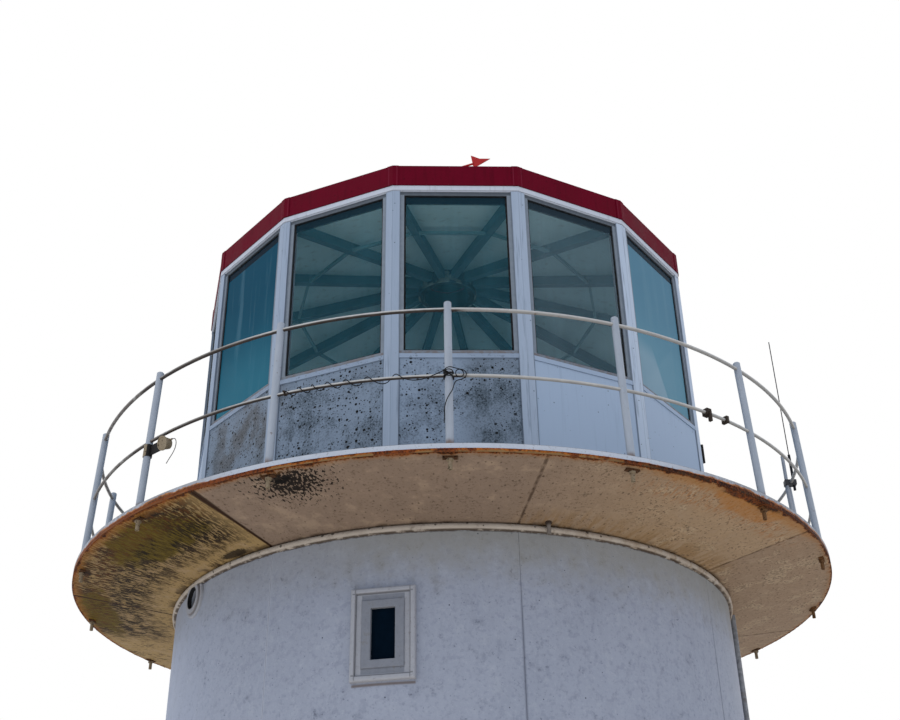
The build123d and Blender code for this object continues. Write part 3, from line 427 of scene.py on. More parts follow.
# stains: azimuth and radius of the middle, half a width in degrees and half a depth in metres
ALGAE = ((-49.0, 2.60, 12.0, 0.22), (-85.0, 2.70, 12.0, 0.15))
DARK_ALGAE = (-41.0, 2.62, 4.6, 0.24)
MOULD = ((-42.5, 2.785, 2.2, 0.035), (-67.5, 2.77, 1.4, 0.045), (-21.6, 2.735, 1.6, 0.040))
MOULD_DASHES = (-20.6, 2.70, 6.325, 0.228)
RUST_HALO, RUST_CORE = (43.0, 2.76, 7.0, 0.11), (41.5, 2.835, 6.4, 0.050)
BEAD_SMEAR = (-41.5, 2.150, 3.6, 0.040)
soffit_paint, at = finish("soffit_stained")
azimuth, radius, z = round_back(azimuth_of(at)), radius_of(at), height_of(at)
pan = point(azimuth * PAN_DEGREE, radius)
flow = cloud(point(azimuth * PAN_DEGREE, radius * 0.20), 62.0, 4.0, 0.68)
veins = cloud(point(azimuth * PAN_DEGREE, radius * 0.18), 24.0, 4.0, 0.6)
mottle = cloud(at, 2.6, 5.0, 0.6)
patch = cloud(at, 6.5, 5.0, 0.68)
grit = cloud(at, 55.0, 4.0, 0.72)


def from_middle(stain):
    # how far a point of the soffit is from the middle of a stain, whose edge is at 1
    az, r, wide, deep = stain
    a, b = (azimuth - az) / wide, (radius - r) / deep
    return (a * a + b * b) ** 0.5


def oval(stain, ragged):
    # 1 inside a stain, which has a ragged soft edge
    return rise(from_middle(stain) + ragged * 1.6, 1.9, 1.55)


# cream pans in front, mustard past the left joint, tan and brown on the right
leftness = rise(azimuth, LEFT_JOINT + 0.2, LEFT_JOINT - 0.3)
right_joint = LEFT_JOINT + 2 * PLATE_ARC
body = mix(mottle, rgb(120, 104, 91), rgb(142, 124, 108))
body = mix(rise(azimuth, 4.0, 40.0), body, mix(patch, rgb(118, 97, 74), rgb(182, 158, 128)))
body = mix(leftness, body, mix(patch, rgb(126, 103, 64), rgb(180, 155, 108)))
far_right = rise(azimuth, right_joint - 0.2, right_joint + 0.1)
body = mix(far_right, body, mix(patch, rgb(108, 89, 72), rgb(166, 144, 120)))
body = mix(rise(patch, 0.50, 0.34) * 0.32, body, rgb(176, 156, 132))
blot = cloud(at, 4.2, 5.0, 0.7)
bare_cream = rise(azimuth, 12.0, 30.0) * rise(blot, 0.53, 0.62)
body = mix(bare_cream * 0.42, body, rgb(186, 168, 140))
peppered = rise(azimuth, 6.0, 20.0) * rise(grit + (blot - 0.5) * 0.8, 0.55, 0.66)
body = mix(peppered * 0.45, body, rgb(84, 68, 54))
run_off = near(azimuth, 36.0, 20.0, 8.0) * rise(radius + patch * 0.2, 2.46, 2.26) * rise(veins, 0.36, 0.62)
body = mix(run_off * 0.55, body, rgb(132, 102, 62))
body = mix(rise(grit, 0.53, 0.68) * rise(patch, 0.36, 0.56) * 0.60, body, rgb(98, 80, 66))
body = mix(rise(veins, 0.54, 0.74) * 0.22, body, rgb(104, 86, 66))
body = mix(rise(grit * patch, 0.30, 0.38) * 0.5, body, rgb(82, 68, 56))
# the brown veil of dashes on the left, with algae in two patches and clean cream at the bead
veil = near(azimuth, -66.0, 27.0, 8.0) * rise(radius + patch * 0.3, 2.30, 2.55) * leftness
body = mix(veil * 0.30, body, rgb(104, 80, 48))
body = mix(veil * rise(flow + (patch - 0.5) * 0.4, 0.45, 0.51) * 0.97, body, rgb(18, 12, 5))
foot_veil = near(azimuth, -84.0, 40.0, 8.0) * leftness
body = mix(foot_veil * rise(flow + (patch - 0.5) * 0.6, 0.55, 0.61) * 0.75, body, rgb(58, 42, 26))
algae = most(*[oval(stain, patch) for stain in ALGAE])
body = mix(algae * 0.96, body, mix(rise(flow, 0.40, 0.60), rgb(92, 77, 10), rgb(62, 49, 5)))
body = mix(algae * rise(flow + (patch - 0.5) * 0.9, 0.55, 0.61) * 0.92, body, rgb(18, 13, 3))
dark_algae = oval(DARK_ALGAE, grit)
body = mix(dark_algae * rise(flow + (grit - 0.5) * 0.5, 0.42, 0.52) * 0.85, body, rgb(32, 24, 6))
# ragged black mould: near the nuts at the left and one cluster of dashes near the front
mould = most(*[oval(stain, grit) for stain in MOULD])
body = mix(mould * rise(patch + grit, 0.80, 0.95) * 0.95, body, rgb(20, 16, 10))
off_dashes = from_middle(MOULD_DASHES)
crowded = rise(off_dashes, 1.25, 0.15) * 0.20
dashes = rise(cloud(point(azimuth * PAN_DEGREE, radius * 0.5), 62.0), 0.62 - crowded, 0.65 - crowded)
body = mix(dashes * rise(off_dashes, 1.5, 1.1) * 0.96, body, rgb(14, 10, 7))
body = mix(specks(point(azimuth * PAN_DEGREE, radius * 0.7), 24.0, 0.20, 0.30) * 0.6, body, rgb(64, 50, 40))
# rust that comes in from the rim, dark dirt along the bead and the joints of the pans
edge = radius + (cloud(at, 9.0, 5.0, 0.7) - 0.5) * 0.12 + (grit - 0.5) * 0.03
glow = most(near(azimuth, 42.0, 8.0, 14.0), near(azimuth, -64.0, 26.0, 8.0) * 0.45)
body = mix(rise(edge + glow * 0.06, RIM_R - 0.06, RIM_R + 0.02) * 0.60, body, rgb(158, 108, 48))
body = mix(glow * near(radius, 2.70, 0.05, 0.12) * rise(flow, 0.48, 0.60) * 0.5, body, rgb(146, 86, 24))
body = mix(oval(RUST_HALO, patch) * 0.55, body, rgb(158, 104, 40))
core_rust = mix(rise(grit + patch, 0.90, 1.20), rgb(30, 14, 6), rgb(126, 62, 18))
body = mix(oval(RUST_CORE, patch) * 0.94, body, core_rust)
body = mix(rise(edge, RIM_R - 0.024, RIM_R - 0.004) * 0.85, body, rgb(126, 66, 22))
rim_black = rise(patch + near(azimuth, 70.0, 44.0, 12.0) * 0.10, 0.40, 0.54)
body = mix(rise(edge, RIM_R - 0.016, RIM_R - 0.002) * rim_black * 0.92, body, rgb(40, 20, 10))
left_foot = near(azimuth, -79.0, 45.0, 12.0) * rise(radius + patch * 0.09 + grit * 0.03, 2.225, 2.185)
foot = most(rise(radius + patch * 0.08 + grit * 0.02, 2.195, 2.150), left_foot)
body = mix(foot * rise(cloud(pan, 5.0, 3.0), 0.46, 0.58) * 0.7, body, rgb(60, 46, 34))
body = mix(oval(BEAD_SMEAR, grit) * 0.9, body, rgb(34, 26, 18))
off_pan_joint = steps(azimuth, LEFT_JOINT, PLATE_ARC) + (grit - 0.5) * 0.22
broken = rise(cloud(pan, 16.0, 2.0), 0.40, 0.56)
left_seam = near(azimuth, LEFT_JOINT, 3.0, 1.0)
left_seam = left_seam * rise(off_pan_joint + rise(radius, 2.84, 2.40) * 0.25, 0.72, 0.40)
body = mix(left_seam * 0.92, body, rgb(44, 26, 14))
body = mix(rise(off_pan_joint, 0.34, 0.14) * (leftness * 0.6 + broken * 0.4 + 0.2), body, rgb(50, 30, 16))
# the upright edge of the rim: old cream, then rust, scabs and burnt brown on the right
rim_line = z + cloud(at, 8.0, 5.0, 0.7) * 0.050 + grit * 0.010 - RIM_LOW
rim = mix(patch, rgb(112, 82, 48), rgb(158, 124, 80))
rim_rust = mix(rise(grit, 0.35, 0.65), rgb(104, 48, 14), rgb(178, 104, 40))
rim = mix(rise(rim_line, 0.038, 0.044), rim, rim_rust)
rim = mix(rise(rim_line, 0.050, 0.054) * rise(patch, 0.40, 0.52) * 0.9, rim, rgb(44, 20, 10))
scabs = rise(cloud(at, 4.0, 4.0, 0.6), 0.49, 0.55)
rim = mix(scabs * 0.85, rim, mix(rise(grit, 0.4, 0.6), rgb(62, 26, 14), rgb(130, 62, 26)))
left_rim = near(azimuth, -81.0, 45.0, 12.0)
rim = mix(left_rim * 0.7, rim, mix(patch, rgb(70, 30, 14), rgb(150, 82, 42)))
burnt = near(azimuth, 73.0, 45.0, 12.0) * rise(patch + (grit - 0.5) * 0.6, 0.30, 0.42)
rim = mix(burnt * 0.9, rim, mix(rise(grit, 0.45, 0.70), rgb(30, 14, 8), rgb(122, 58, 20)))
body = mix(rise(z, RIM_LOW + 0.001, RIM_LOW + 0.003) * rise(radius, RIM_R - 0.010, RIM_R - 0.004), body, rim)
blisters = rise(edge, RIM_R - 0.06, RIM_R - 0.01) * cloud(at, 60.0, 4.0, 0.7)
relief = grit * 1.2 + flow * 0.5 + patch * 1.2 + blisters * 3.0
surface(at, body, 0.68, relief, 0.0026)
coat(soffit_paint, "gallery_soffit_a", "gallery_soffit_b")

nut_rust, at = finish("rusty_fixings")
azimuth, z = azimuth_of(at), height_of(at)
body = mix(cloud(at, 30.0, 4.0), rgb(44, 28, 18), rgb(104, 74, 50))
tips = rise(z, RIM_LOW - 0.018, RIM_LOW - 0.024)
body = mix(tips * 0.9, body, mix(cloud(at, 60.0), rgb(120, 106, 84), rgb(166, 152, 128)))
right_nuts = near(azimuth, 60.0, 34.0, 2.0)
body = mix(right_nuts * 0.85, body, mix(cloud(at, 60.0), rgb(74, 46, 24), rgb(122, 84, 48)))
body = mix(rise(cloud(at, 70.0, 3.0), 0.56, 0.66) * 0.8, body, rgb(26, 18, 12))
surface(at, body, 0.75, cloud(at, 120.0, 4.0, 0.7), 0.003)
coat(nut_rust, "stanchion_nuts")

spout_zinc, at = finish("spout_zinc")
z = height_of(at)
body = mix(cloud(at, 30.0, 4.0), rgb(110, 104, 98), rgb(140, 134, 128))
body = mix(rise(z + cloud(at, 40.0) * 0.02, 4.520, 4.545) * 0.9, body, rgb(46, 30, 20))
surface(at, body, 0.6, cloud(at, 90.0, 4.0), 0.002)
coat(spout_zinc, "soffit_spout")


# Gallery deck
# A plain steel deck with a white painted edge. Along its lower line the paint has
# lifted and rust shows; the walking surface is worn grey.
DECK_TOP, RUST_LINE = 4.708, 4.660
deck_paint, at = finish("deck_white")
azimuth, z = azimuth_of(at), height_of(at)
patch = cloud(at, 7.0, 5.0, 0.7)
grit = cloud(at, 60.0, 4.0, 0.7)
body = mix(patch, rgb(176, 184, 196), rgb(206, 212, 220))
body = mix(rise(grit, 0.56, 0.70) * 0.5, body, rgb(120, 112, 106))
walked = mix(rise(patch + grit * 0.3, 0.45, 0.85), rgb(132, 134, 132), rgb(92, 88, 80))
body = mix(rise(z, DECK_TOP - 0.002, DECK_TOP - 0.0005), body, walked)
flank = rise(abs(azimuth), 24.0, 40.0)
grime = rise(z, DECK_TOP - 0.0015, DECK_TOP - 0.003) * rise(patch * 0.6 + grit * 0.4, 0.36, 0.56)
body = mix(flank * grime * 0.6, body, rgb(112, 100, 88))
edge = z + 0.010 - patch * 0.034 - grit * 0.008 - flank * patch * 0.030 - RUST_LINE
lifted = mix(rise(grit, 0.35, 0.65), rgb(124, 62, 20), rgb(204, 128, 50))
body = mix(rise(edge, 0.006, 0.0) * 0.92, body, lifted)
body = mix(rise(edge, 0.0, -0.010) * rise(patch * 0.5 + grit * 0.5, 0.46, 0.56) * 0.9, body, rgb(40, 18, 10))
surface(at, body, 0.5, grit + rise(edge, 0.014, 0.002) * cloud(at, 70.0, 4.0, 0.7) * 3.0, 0.002)
coat(deck_paint, "gallery_deck")

floor_grey, at = finish("lantern_floor_grey")
surface(at, mix(cloud(at, 5.0, 4.0), rgb(86, 90, 92), rgb(108, 112, 114)), 0.6, cloud(at, 60.0), 0.001)
coat(floor_grey, "lantern_floor")


# Rust scale at the rim and round the nuts
# Where the paint has lifted, thin scales of rust hang from the lower edge of the rim, and
# lumps of rust and old sealant sit round every nut. They are loose oxide, stuck to the steel.
scale_rust, at = finish("rust_scale")
grain = cloud(at, 90.0, 4.0, 0.7)
body = mix(rise(grain, 0.35, 0.65), rgb(48, 24, 12), rgb(140, 78, 32))
surface(at, body, 0.8, grain, 0.002)

# chips on a ring, within reach of evenly spaced studs, each of its own size and shift
scatter = bpy.data.node_groups.new("scale_on_ring", "GeometryNodeTree")
SCATTER_INPUTS = (
    ("Count", "Int"), ("Seed", "Int"), ("Radius", "Float"), ("Height", "Float"), ("Jitter", "Float"),
    ("Arc", "Float"), ("Reach", "Float"), ("Least", "Vector"), ("Most", "Vector"), ("Finish", "Material"))
scatter.interface.new_socket("Geometry", in_out="OUTPUT", socket_type="NodeSocketGeometry")
for name, kind in SCATTER_INPUTS:
    scatter.interface.new_socket(name, in_out="INPUT", socket_type="NodeSocket" + kind)
start = Wire(scatter)
given = {name: start.node("NodeGroupInput", out=name) for name, kind in SCATTER_INPUTS}
ring = start.node("GeometryNodeCurvePrimitiveCircle",
                  {"Resolution": given["Count"], "Radius": given["Radius"]}, mode="RADIUS")
spread = point(given["Jitter"], given["Jitter"], given["Jitter"] * 0.1)
shift = start.node("FunctionNodeRandomValue",
                   {0: (-1.0, -1.0, -1.0), 1: (1.0, 1.0, 1.0), "Seed": given["Seed"]},
                   data_type="FLOAT_VECTOR")
shift = start.node("ShaderNodeVectorMath", {0: shift, 1: spread}, operation="MULTIPLY")
lift = start.node("ShaderNodeCombineXYZ", {"Z": given["Height"]})
shift = start.node("ShaderNodeVectorMath", {0: shift, 1: lift}, operation="ADD")
spot = start.node("GeometryNodeInputPosition")
off_nut = steps(azimuth_of(spot), 0.0, given["Arc"])
keep = off_nut.maths("LESS_THAN", off_nut, given["Reach"])
size = start.node("FunctionNodeRandomValue",
                  {0: given["Least"], 1: given["Most"], "Seed": given["Seed"] + 7.0},
                  data_type="FLOAT_VECTOR")
facing = start.node("FunctionNodeAlignRotationToVector", {"Vector": spot}, axis="X", pivot_axis="Z")
chip = start.node("GeometryNodeMeshIcoSphere", {"Radius": 1.0, "Subdivisions": 1})
placed = start.node("GeometryNodeInstanceOnPoints", {"Points": ring, "Selection": keep, "Instance": chip,
                                                     "Rotation": facing, "Scale": size})
placed = start.node("GeometryNodeTranslateInstances",
                    {"Instances": placed, "Translation": shift, "Local Space": False})
whole = start.node("GeometryNodeRealizeInstances", {"Geometry": placed})
whole = start.node("GeometryNodeSetMaterial", {"Geometry": whole, "Material": given["Finish"]})
start.node("NodeGroupOutput", {0: whole})


def scattered(name, tree, **values):
    # what a Geometry Nodes tree makes with these inputs, as a finished mesh piece
    base = bpy.data.objects.new(name + "_base", bpy.data.meshes.new(name + "_base"))
    bpy.context.scene.collection.objects.link(base)
    modifier = base.modifiers.new("grow", "NODES")
    modifier.node_group = tree
    for item in tree.interface.items_tree:
        if item.in_out == "INPUT":
            modifier[item.identifier] = values[item.name]
    grown = bpy.data.meshes.new_from_object(base.evaluated_get(bpy.context.evaluated_depsgraph_get()))
    grown.name = name
    bpy.data.objects.remove(base)
    made = bpy.data.objects.new(name, grown)
    bpy.context.scene.collection.objects.link(made)
    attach(made, "tower")


STUD_RING, STUD_ARC = 2.775, 22.5
scattered("rim_flakes", scatter, Count=760, Seed=3, Radius=RIM_R - 0.0048, Height=RIM_LOW, Jitter=0.0005,
          Arc=360.0, Reach=400.0, Least=(0.002, 0.003, 0.001), Most=(0.0038, 0.016, 0.007), Finish=scale_rust)
scattered("nut_lumps", scatter, Count=1500, Seed=11, Radius=STUD_RING, Height=RIM_LOW - 0.001, Jitter=0.028,
          Arc=STUD_ARC, Reach=1.0, Least=(0.004, 0.004, 0.003), Most=(0.018, 0.021, 0.013), Finish=scale_rust)


# Lantern parapet and posts
# White sheet panels between fourteen bent corner strips. Salt and damp have left a grey
# film and black spots on the panels at the left, and the rest are nearly clean.
PANEL_DEGREE = 0.0355  # metres round the lantern
SIDES, FRONT_SIDE = 14, 2.08
SIDE_ARC = 360 / SIDES
FIRST_CORNER = FRONT_SIDE + SIDE_ARC / 2
SILL_LINE = 5.795


def off_corner(azimuth):
    # degrees from the nearest corner of the lantern
    return steps(azimuth, FIRST_CORNER, SIDE_ARC)


panel_paint, at = finish("parapet_white")
azimuth, z = azimuth_of(at), height_of(at)
flat = point(azimuth * PANEL_DEGREE, z)
runs = cloud(upright(at, 0.05), 30.0, 4.0, 0.6)
patch = cloud(at, 4.5, 4.0, 0.62)
grit = cloud(at, 84.0, 4.0, 0.75)
# dirty: the three panels in front and on the left, and the back a little; heavy: how thick the film is
dirty = most(near(azimuth, -24.0, 38.4, 0.3), rise(abs(azimuth), 80.0, 95.0) * 0.35)
heavy = near(azimuth, -94.0, 57.0, 1.0) * 0.35 + near(azimuth, 10.0, 4.5, 5.0) * 0.40
heavy = heavy + near(azimuth, -24.0, 12.0, 1.0) * 0.2 + 0.50
body = mix(runs, rgb(157, 175, 198), rgb(170, 188, 209))
# painted light: the panels on the right are paler, as more light on that side makes them
lit_right_panels = near(azimuth, 66.4, 51.4, 2.0)
body = mix(lit_right_panels * 0.6, body, rgb(178, 195, 214))
body = mix(rise(runs, 0.54, 0.72) * 0.18, body, rgb(124, 141, 164))
body = mix(dirty * heavy * 0.9, body, rgb(114, 127, 140))
film = dirty * heavy * (1.0 - rise(z + patch * 0.10, SILL_LINE - 0.095, SILL_LINE - 0.005) * 0.7)
smudge = rise(patch + (runs - 0.5) * 0.5, 0.44, 0.60)
body = mix(film * smudge * 0.52, body, rgb(76, 89, 99))
body = mix(film * rise(grit + (patch - 0.5) * 0.5, 0.44, 0.60) * 0.60, body, rgb(66, 80, 90))
body = mix(film * rise(grit + (patch - 0.5) * 0.8, 0.58, 0.68) * 0.7, body, rgb(32, 40, 46))
brown = near(azimuth, -46.0, 7.0, 8.0) * rise(z + patch * 0.3, 5.30, 5.62)
body = mix(brown * rise(patch, 0.35, 0.6) * 0.45, body, rgb(98, 90, 82))
# black mould in crowds of round dots of three sizes
crowd = rise(cloud(at, 3.2, 2.0), 0.36, 0.50)
large_dots = specks(flat, 16.0, 0.20, 0.85)
middle_dots = specks(point(azimuth * PANEL_DEGREE + 0.37, z + 0.61), 26.0, 0.20, 0.60)
small_dots = specks(point(azimuth * PANEL_DEGREE + 0.19, z + 0.23), 37.0, 0.19, 0.55)
body = mix(dirty * most(large_dots, middle_dots, small_dots) * crowd, body, rgb(3, 5, 9))
body = mix(specks(flat, 11.0, 0.07, 0.3) * 0.6, body, rgb(56, 62, 74))
# painted shade: the panels are darker beside the corner posts
body = mix(rise(off_corner(azimuth), 1.72, 1.62) * 0.55, body, rgb(80, 92, 108))
damp_foot = rise(z, DECK_TOP + 0.037, DECK_TOP + 0.004) * rise(patch, 0.3, 0.6)
body = mix(damp_foot * 0.4, body, rgb(92, 84, 72))
body = mix(rise(z, SILL_LINE - 0.038, SILL_LINE - 0.035) * 0.6, body, rgb(164, 180, 200))
surface(at, body, 0.5, grit * 0.6 + patch, 0.002)
coat(panel_paint, "parapet_front", "parapet_rear", "gallery_door")

post_paint, at = finish("corner_white")
azimuth, z = azimuth_of(at), height_of(at)
runs = cloud(upright(at, 0.05), 46.0, 4.0, 0.6)
off_post = off_corner(azimuth)
body = mix(runs, rgb(150, 165, 183), rgb(172, 186, 203))
# painted light: the posts on the right are paler, as more light on that side makes them
lit_right_posts = near(azimuth, 74.0, 44.0, 22.0)
body = mix(lit_right_posts * 0.75, body, rgb(200, 213, 228))
body = mix(rise(runs, 0.54, 0.68) * 0.45, body, rgb(104, 117, 134))
body = mix(specks(point(azimuth * PANEL_DEGREE, z), 14.0, 0.08, 0.2) * 0.7, body, rgb(60, 66, 74))
# painted shade: each post is darker at its edges, where the strip turns in towards the panels
body = mix(rise(off_post, 1.34, 1.46) * 0.6, body, rgb(84, 92, 104))
body = mix(rise(off_post, 0.09, 0.03) * 0.35, body, rgb(110, 122, 138))
surface(at, body, 0.45, runs + cloud(at, 90.0) * 0.4, 0.0015)
coat(post_paint, "corner_posts")

eaves_paint, at = finish("eaves_white")
runs = cloud(upright(at, 0.1), 30.0, 4.0, 0.6)
body = mix(runs, rgb(192, 198, 208), rgb(214, 219, 227))
body = mix(rise(runs, 0.55, 0.7) * 0.4, body, rgb(160, 164, 172))
surface(at, body, 0.5, runs, 0.001)
coat(eaves_paint, "eaves_trim")

hinge_black, at = finish("hinge_black")
body = mix(rise(cloud(at, 60.0, 4.0), 0.5, 0.7) * 0.5, rgb(22, 22, 24), rgb(74, 46, 30))
surface(at, body, 0.5, cloud(at, 160.0), 0.001)
coat(hinge_black, "door_hardware")


# Lantern glazing
# One green tinted pane to each side in a slim grey metal frame with a dark gasket. The
# ceiling shows through the panes, veiled by salt and by the sky's reflection.
PANE_HALF, PANE_LOW, PANE_TOP, PANE_R = 0.3775, 5.825, 7.160, 2.0041
frame_metal, at = finish("frame_grey")
z = height_of(at)
worn = cloud(at, 30.0, 4.0, 0.65)
body = mix(worn, rgb(110, 120, 130), rgb(140, 150, 161))
frame_foot = rise(z, PANE_LOW + 0.001, PANE_LOW - 0.007) * rise(worn, 0.35, 0.6)
body = mix(frame_foot * 0.7, body, rgb(112, 98, 92))
body = mix(rise(z, SILL_LINE + 0.008, SILL_LINE + 0.003) * 0.7, body, rgb(50, 48, 50))
# painted shadow: a dark line at the head of the frame, under the eaves trim
body = mix(rise(z, PANE_TOP - 0.002, PANE_TOP + 0.006) * 0.6, body, rgb(40, 44, 50))
surface(at, body, 0.5, worn, 0.0012, Metallic=0.25)
coat(frame_metal, "window_frames")

lantern_glass, at = finish("green_glass")
azimuth, z = azimuth_of(at), height_of(at)
wash = cloud(upright(at, 0.08), 9.0, 4.0, 0.6)
smear = cloud(at, 1.3, 3.0)
# the side panes show little but a veil of sky
left_side = rise(azimuth, -36.3, -36.6) * rise(azimuth, -64.0, -62.5)
right_side = rise(azimuth, 40.4, 41.0) * rise(azimuth, 68.0, 66.5)
# the panes in front are clear, under a thin film of salt
body = mix(smear, rgb(56, 113, 130), rgb(86, 146, 161))
body = mix(left_side, body, mix(rise(z + smear * 0.8, 7.2, 6.2), rgb(14, 78, 101), rgb(50, 119, 139)))
body = mix(right_side, body, mix(rise(z + smear * 0.4, 7.0, 6.3), rgb(97, 145, 167), rgb(113, 161, 179)))
corner_light = right_side * rise(azimuth + (z - PANE_LOW) * 14.0, 56.07, 55.07) * rise(z, 6.30, 6.10)
body = mix(corner_light * 0.5, body, rgb(172, 194, 206))
body = mix((left_side + right_side) * rise(wash, 0.52, 0.70) * 0.25, body, rgb(110, 150, 164))
at_back = rise(abs(azimuth), 66.0, 70.0)
cover = rise(wash, 0.50, 0.72) * 0.05 + smear * 0.05 + 0.06
cover = cover + left_side * 0.82 + right_side * 0.74 + at_back * 0.30
# the pane right of the middle mirrors some sky, and the head of each pane is in shade
sky_pane = near(azimuth, 27.8, 12.6, 0.1)
body = mix(sky_pane * 0.6, body, rgb(150, 168, 176))
cover = cover + sky_pane * 0.045
head_shade = rise(z + smear * 0.006, PANE_TOP - 0.074, PANE_TOP - 0.066) * (1.0 - at_back)
body = mix(head_shade * 0.9, body, rgb(12, 26, 38))
cover = most(cover, head_shade * 0.88)
surface(at, body, rise(wash, 0.3, 0.8) * 0.08 + 0.03, Alpha=cover, IOR=1.15)
coat(lantern_glass, "window_glass")

gasket_rubber, at = finish("gasket_black")
dust = cloud(at, 50.0, 4.0)
surface(at, mix(rise(dust, 0.45, 0.7) * 0.5, rgb(14, 15, 17), rgb(48, 50, 52)), 0.6)


def piece(name, verts, faces, *coats):
    # a mesh piece in the shared frame that rides on the tower
    mesh = bpy.data.meshes.new(name)
    mesh.from_pydata(verts, [], faces)
    mesh.validate()
    for paint in coats:
        mesh.materials.append(paint)
    made = bpy.data.objects.new(name, mesh)
    bpy.context.scene.collection.objects.link(made)
    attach(made, "tower")


# the rounded lip: how far in from the frame, how far out from the glass
GASKET_LIP = (
    (0.0, -0.0005), (0.0, 0.005), (0.003, 0.0065), (0.008, 0.0055), (0.0115, 0.0025), (0.012, -0.0005))
verts, faces = [], []
for side in range(SIDES):
    first = len(verts)
    for inward, out in GASKET_LIP:
        half, low, top = PANE_HALF - inward, PANE_LOW + inward, PANE_TOP - inward
        for along, up in ((-half, low), (half, low), (half, top), (-half, top)):
            verts.append(turned(FRONT_SIDE + side * SIDE_ARC, along, PANE_R + out, up))
    lips = len(GASKET_LIP)
    for i in range(lips):
        for k in range(4):
            a, b = first + i * 4, first + (i + 1) % lips * 4
            faces.append((a + k, b + k, b + (k + 1) % 4, a + (k + 1) % 4))
piece("glazing_gaskets", verts, faces, gasket_rubber)


# Roof
# A low fourteen-sided roof of painted sheet on ribs that meet in a ring. It is weathered
# grey outside, and its pale underside is the ceiling, with a thin purlin round it.
ROOF_SLOPE, ROOF_THICK = 0.274, 0.010
PURLIN_APOTHEM, RIB_HALF = 1.294, 0.029
HUB_BORE = 0.240
VENT_R, VENT_TOP = 0.184, 8.000


def apothem(azimuth, radius):
    # how far a point is from the axis, measured square to its side of the roof
    off_middle = (SIDE_ARC / 2 - off_corner(azimuth)) / RADIAN
    return radius * off_middle.maths("COSINE", off_middle)


ceiling_paint, at = finish("ceiling_grey")
azimuth, radius, z = azimuth_of(at), radius_of(at), height_of(at)
body = mix(cloud(at, 3.0, 4.0), rgb(184, 230, 236), rgb(206, 248, 252))
body = mix(rise(cloud(at, 16.0, 4.0), 0.55, 0.75) * 0.3, body, rgb(100, 116, 112))
ceiling_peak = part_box("roof_skin")[1][2] - ROOF_THICK + ROOF_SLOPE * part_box("roof_hub")[1][0]
above = z + apothem(azimuth, radius) * (ROOF_SLOPE / math.cos(math.pi / SIDES))
outside = rise(above, ceiling_peak + 0.003, ceiling_peak + 0.006)
weather = cloud(at, 4.0, 5.0, 0.65)
body = mix(outside, body, mix(weather, rgb(118, 122, 128), rgb(160, 163, 168)))
body = mix(outside * rise(weather, 0.55, 0.7) * 0.5, body, rgb(98, 92, 84))
surface(at, body, 0.6, cloud(at, 40.0), 0.001)
coat(ceiling_paint, "roof_skin")

rib_paint, at = finish("rib_grey")
azimuth, radius = azimuth_of(at), radius_of(at)
body = mix(cloud(at, 9.0, 4.0), rgb(60, 108, 122), rgb(86, 134, 148))
off_rib = off_corner(azimuth) * radius / RADIAN
purlin = near(apothem(azimuth, radius), PURLIN_APOTHEM, 0.013, 0.003)
purlin = purlin * rise(off_rib, RIB_HALF - 0.001, RIB_HALF + 0.002)
body = mix(purlin * 0.8, body, rgb(120, 168, 178))
surface(at, body, 0.55, cloud(at, 60.0), 0.001)
coat(rib_paint, "roof_ribs")

hub_paint, at = finish("hub_dark")
radius = radius_of(at)
outer_wall = rise(radius, HUB_BORE, HUB_BORE + 0.010)
# painted shade: the open bore of the hub is near black
body = mix(outer_wall, rgb(1, 10, 20), rgb(38, 66, 76))
body = mix(rise(cloud(at, 9.0), 0.52, 0.62) * outer_wall, body, rgb(126, 138, 130))
surface(at, body, 0.45, cloud(at, 60.0), 0.001)
coat(hub_paint, "roof_hub")

red_paint, at = finish("fascia_crimson")
azimuth, radius, z = azimuth_of(at), radius_of(at), height_of(at)
streak = cloud(upright(at, 0.12), 24.0, 4.0, 0.6)
chalk = cloud(at, 5.0, 5.0, 0.6)
body = mix(chalk, rgb(92, 2, 24), rgb(112, 8, 36))
body = mix(rise(streak, 0.50, 0.72) * 0.35, body, rgb(70, 4, 20))
fascia_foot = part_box("fascia")[0][2]
body = mix(rise(z, fascia_foot + 0.010, fascia_foot + 0.002) * 0.45, body, rgb(60, 12, 24))
body = mix(near(off_corner(azimuth), 0.86, 0.03, 0.08) * 0.35, body, rgb(142, 60, 80))
body = mix(specks(point(azimuth * PANEL_DEGREE, z), 14.0, 0.12, 0.3) * 0.4, body, rgb(52, 6, 18))
# painted shade: the inside of the ventilator is dark navy instead of red
inside_vent = rise(radius, VENT_R, VENT_R - 0.004) * rise(z, VENT_TOP, VENT_TOP - 0.003)
body = mix(inside_vent, body, rgb(8, 26, 40))
surface(at, body, rise(chalk, 0.2, 0.8) * 0.2 + 0.40, streak + cloud(at, 80.0) * 0.5, 0.0015,
        **{"Specular IOR Level": 0.03})
coat(red_paint, "fascia", "ventilator")

vane_paint, at = finish("vane_red")
chalk = cloud(at, 9.0, 4.0)
surface(at, mix(chalk, rgb(170, 30, 32), rgb(196, 48, 46)), 0.5, chalk, 0.001)
coat(vane_paint, "weather_vane")


# Railing
# Galvanised pipe under thick cream paint: sixteen stanchions bolted through the rim, and
# two rails threaded through them. The rails are darker underneath, partly grime and partly
# painted shade, and rust runs at the feet.
rail_paint, at = finish("rail_cream")
azimuth, z = azimuth_of(at), height_of(at)
worn = cloud(at, 12.0, 4.0, 0.6)
body = mix(worn, rgb(170, 170, 168), rgb(204, 203, 198))
# the left of the rails is weathered to brown
weathered = near(azimuth, -79.0, 45.0, 12.0) * rise(worn, 0.30, 0.55)
body = mix(weathered * 0.85, body, rgb(98, 90, 84))
mid_z, top_z = [sum(corner[2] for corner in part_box(name)) / 2 for name in ("mid_rail", "top_rail")]
between = (mid_z + top_z) / 2
off_middle = rise(z, between - 0.1, between + 0.1) * (mid_z - top_z) + z - mid_z + (worn - 0.5) * 0.006
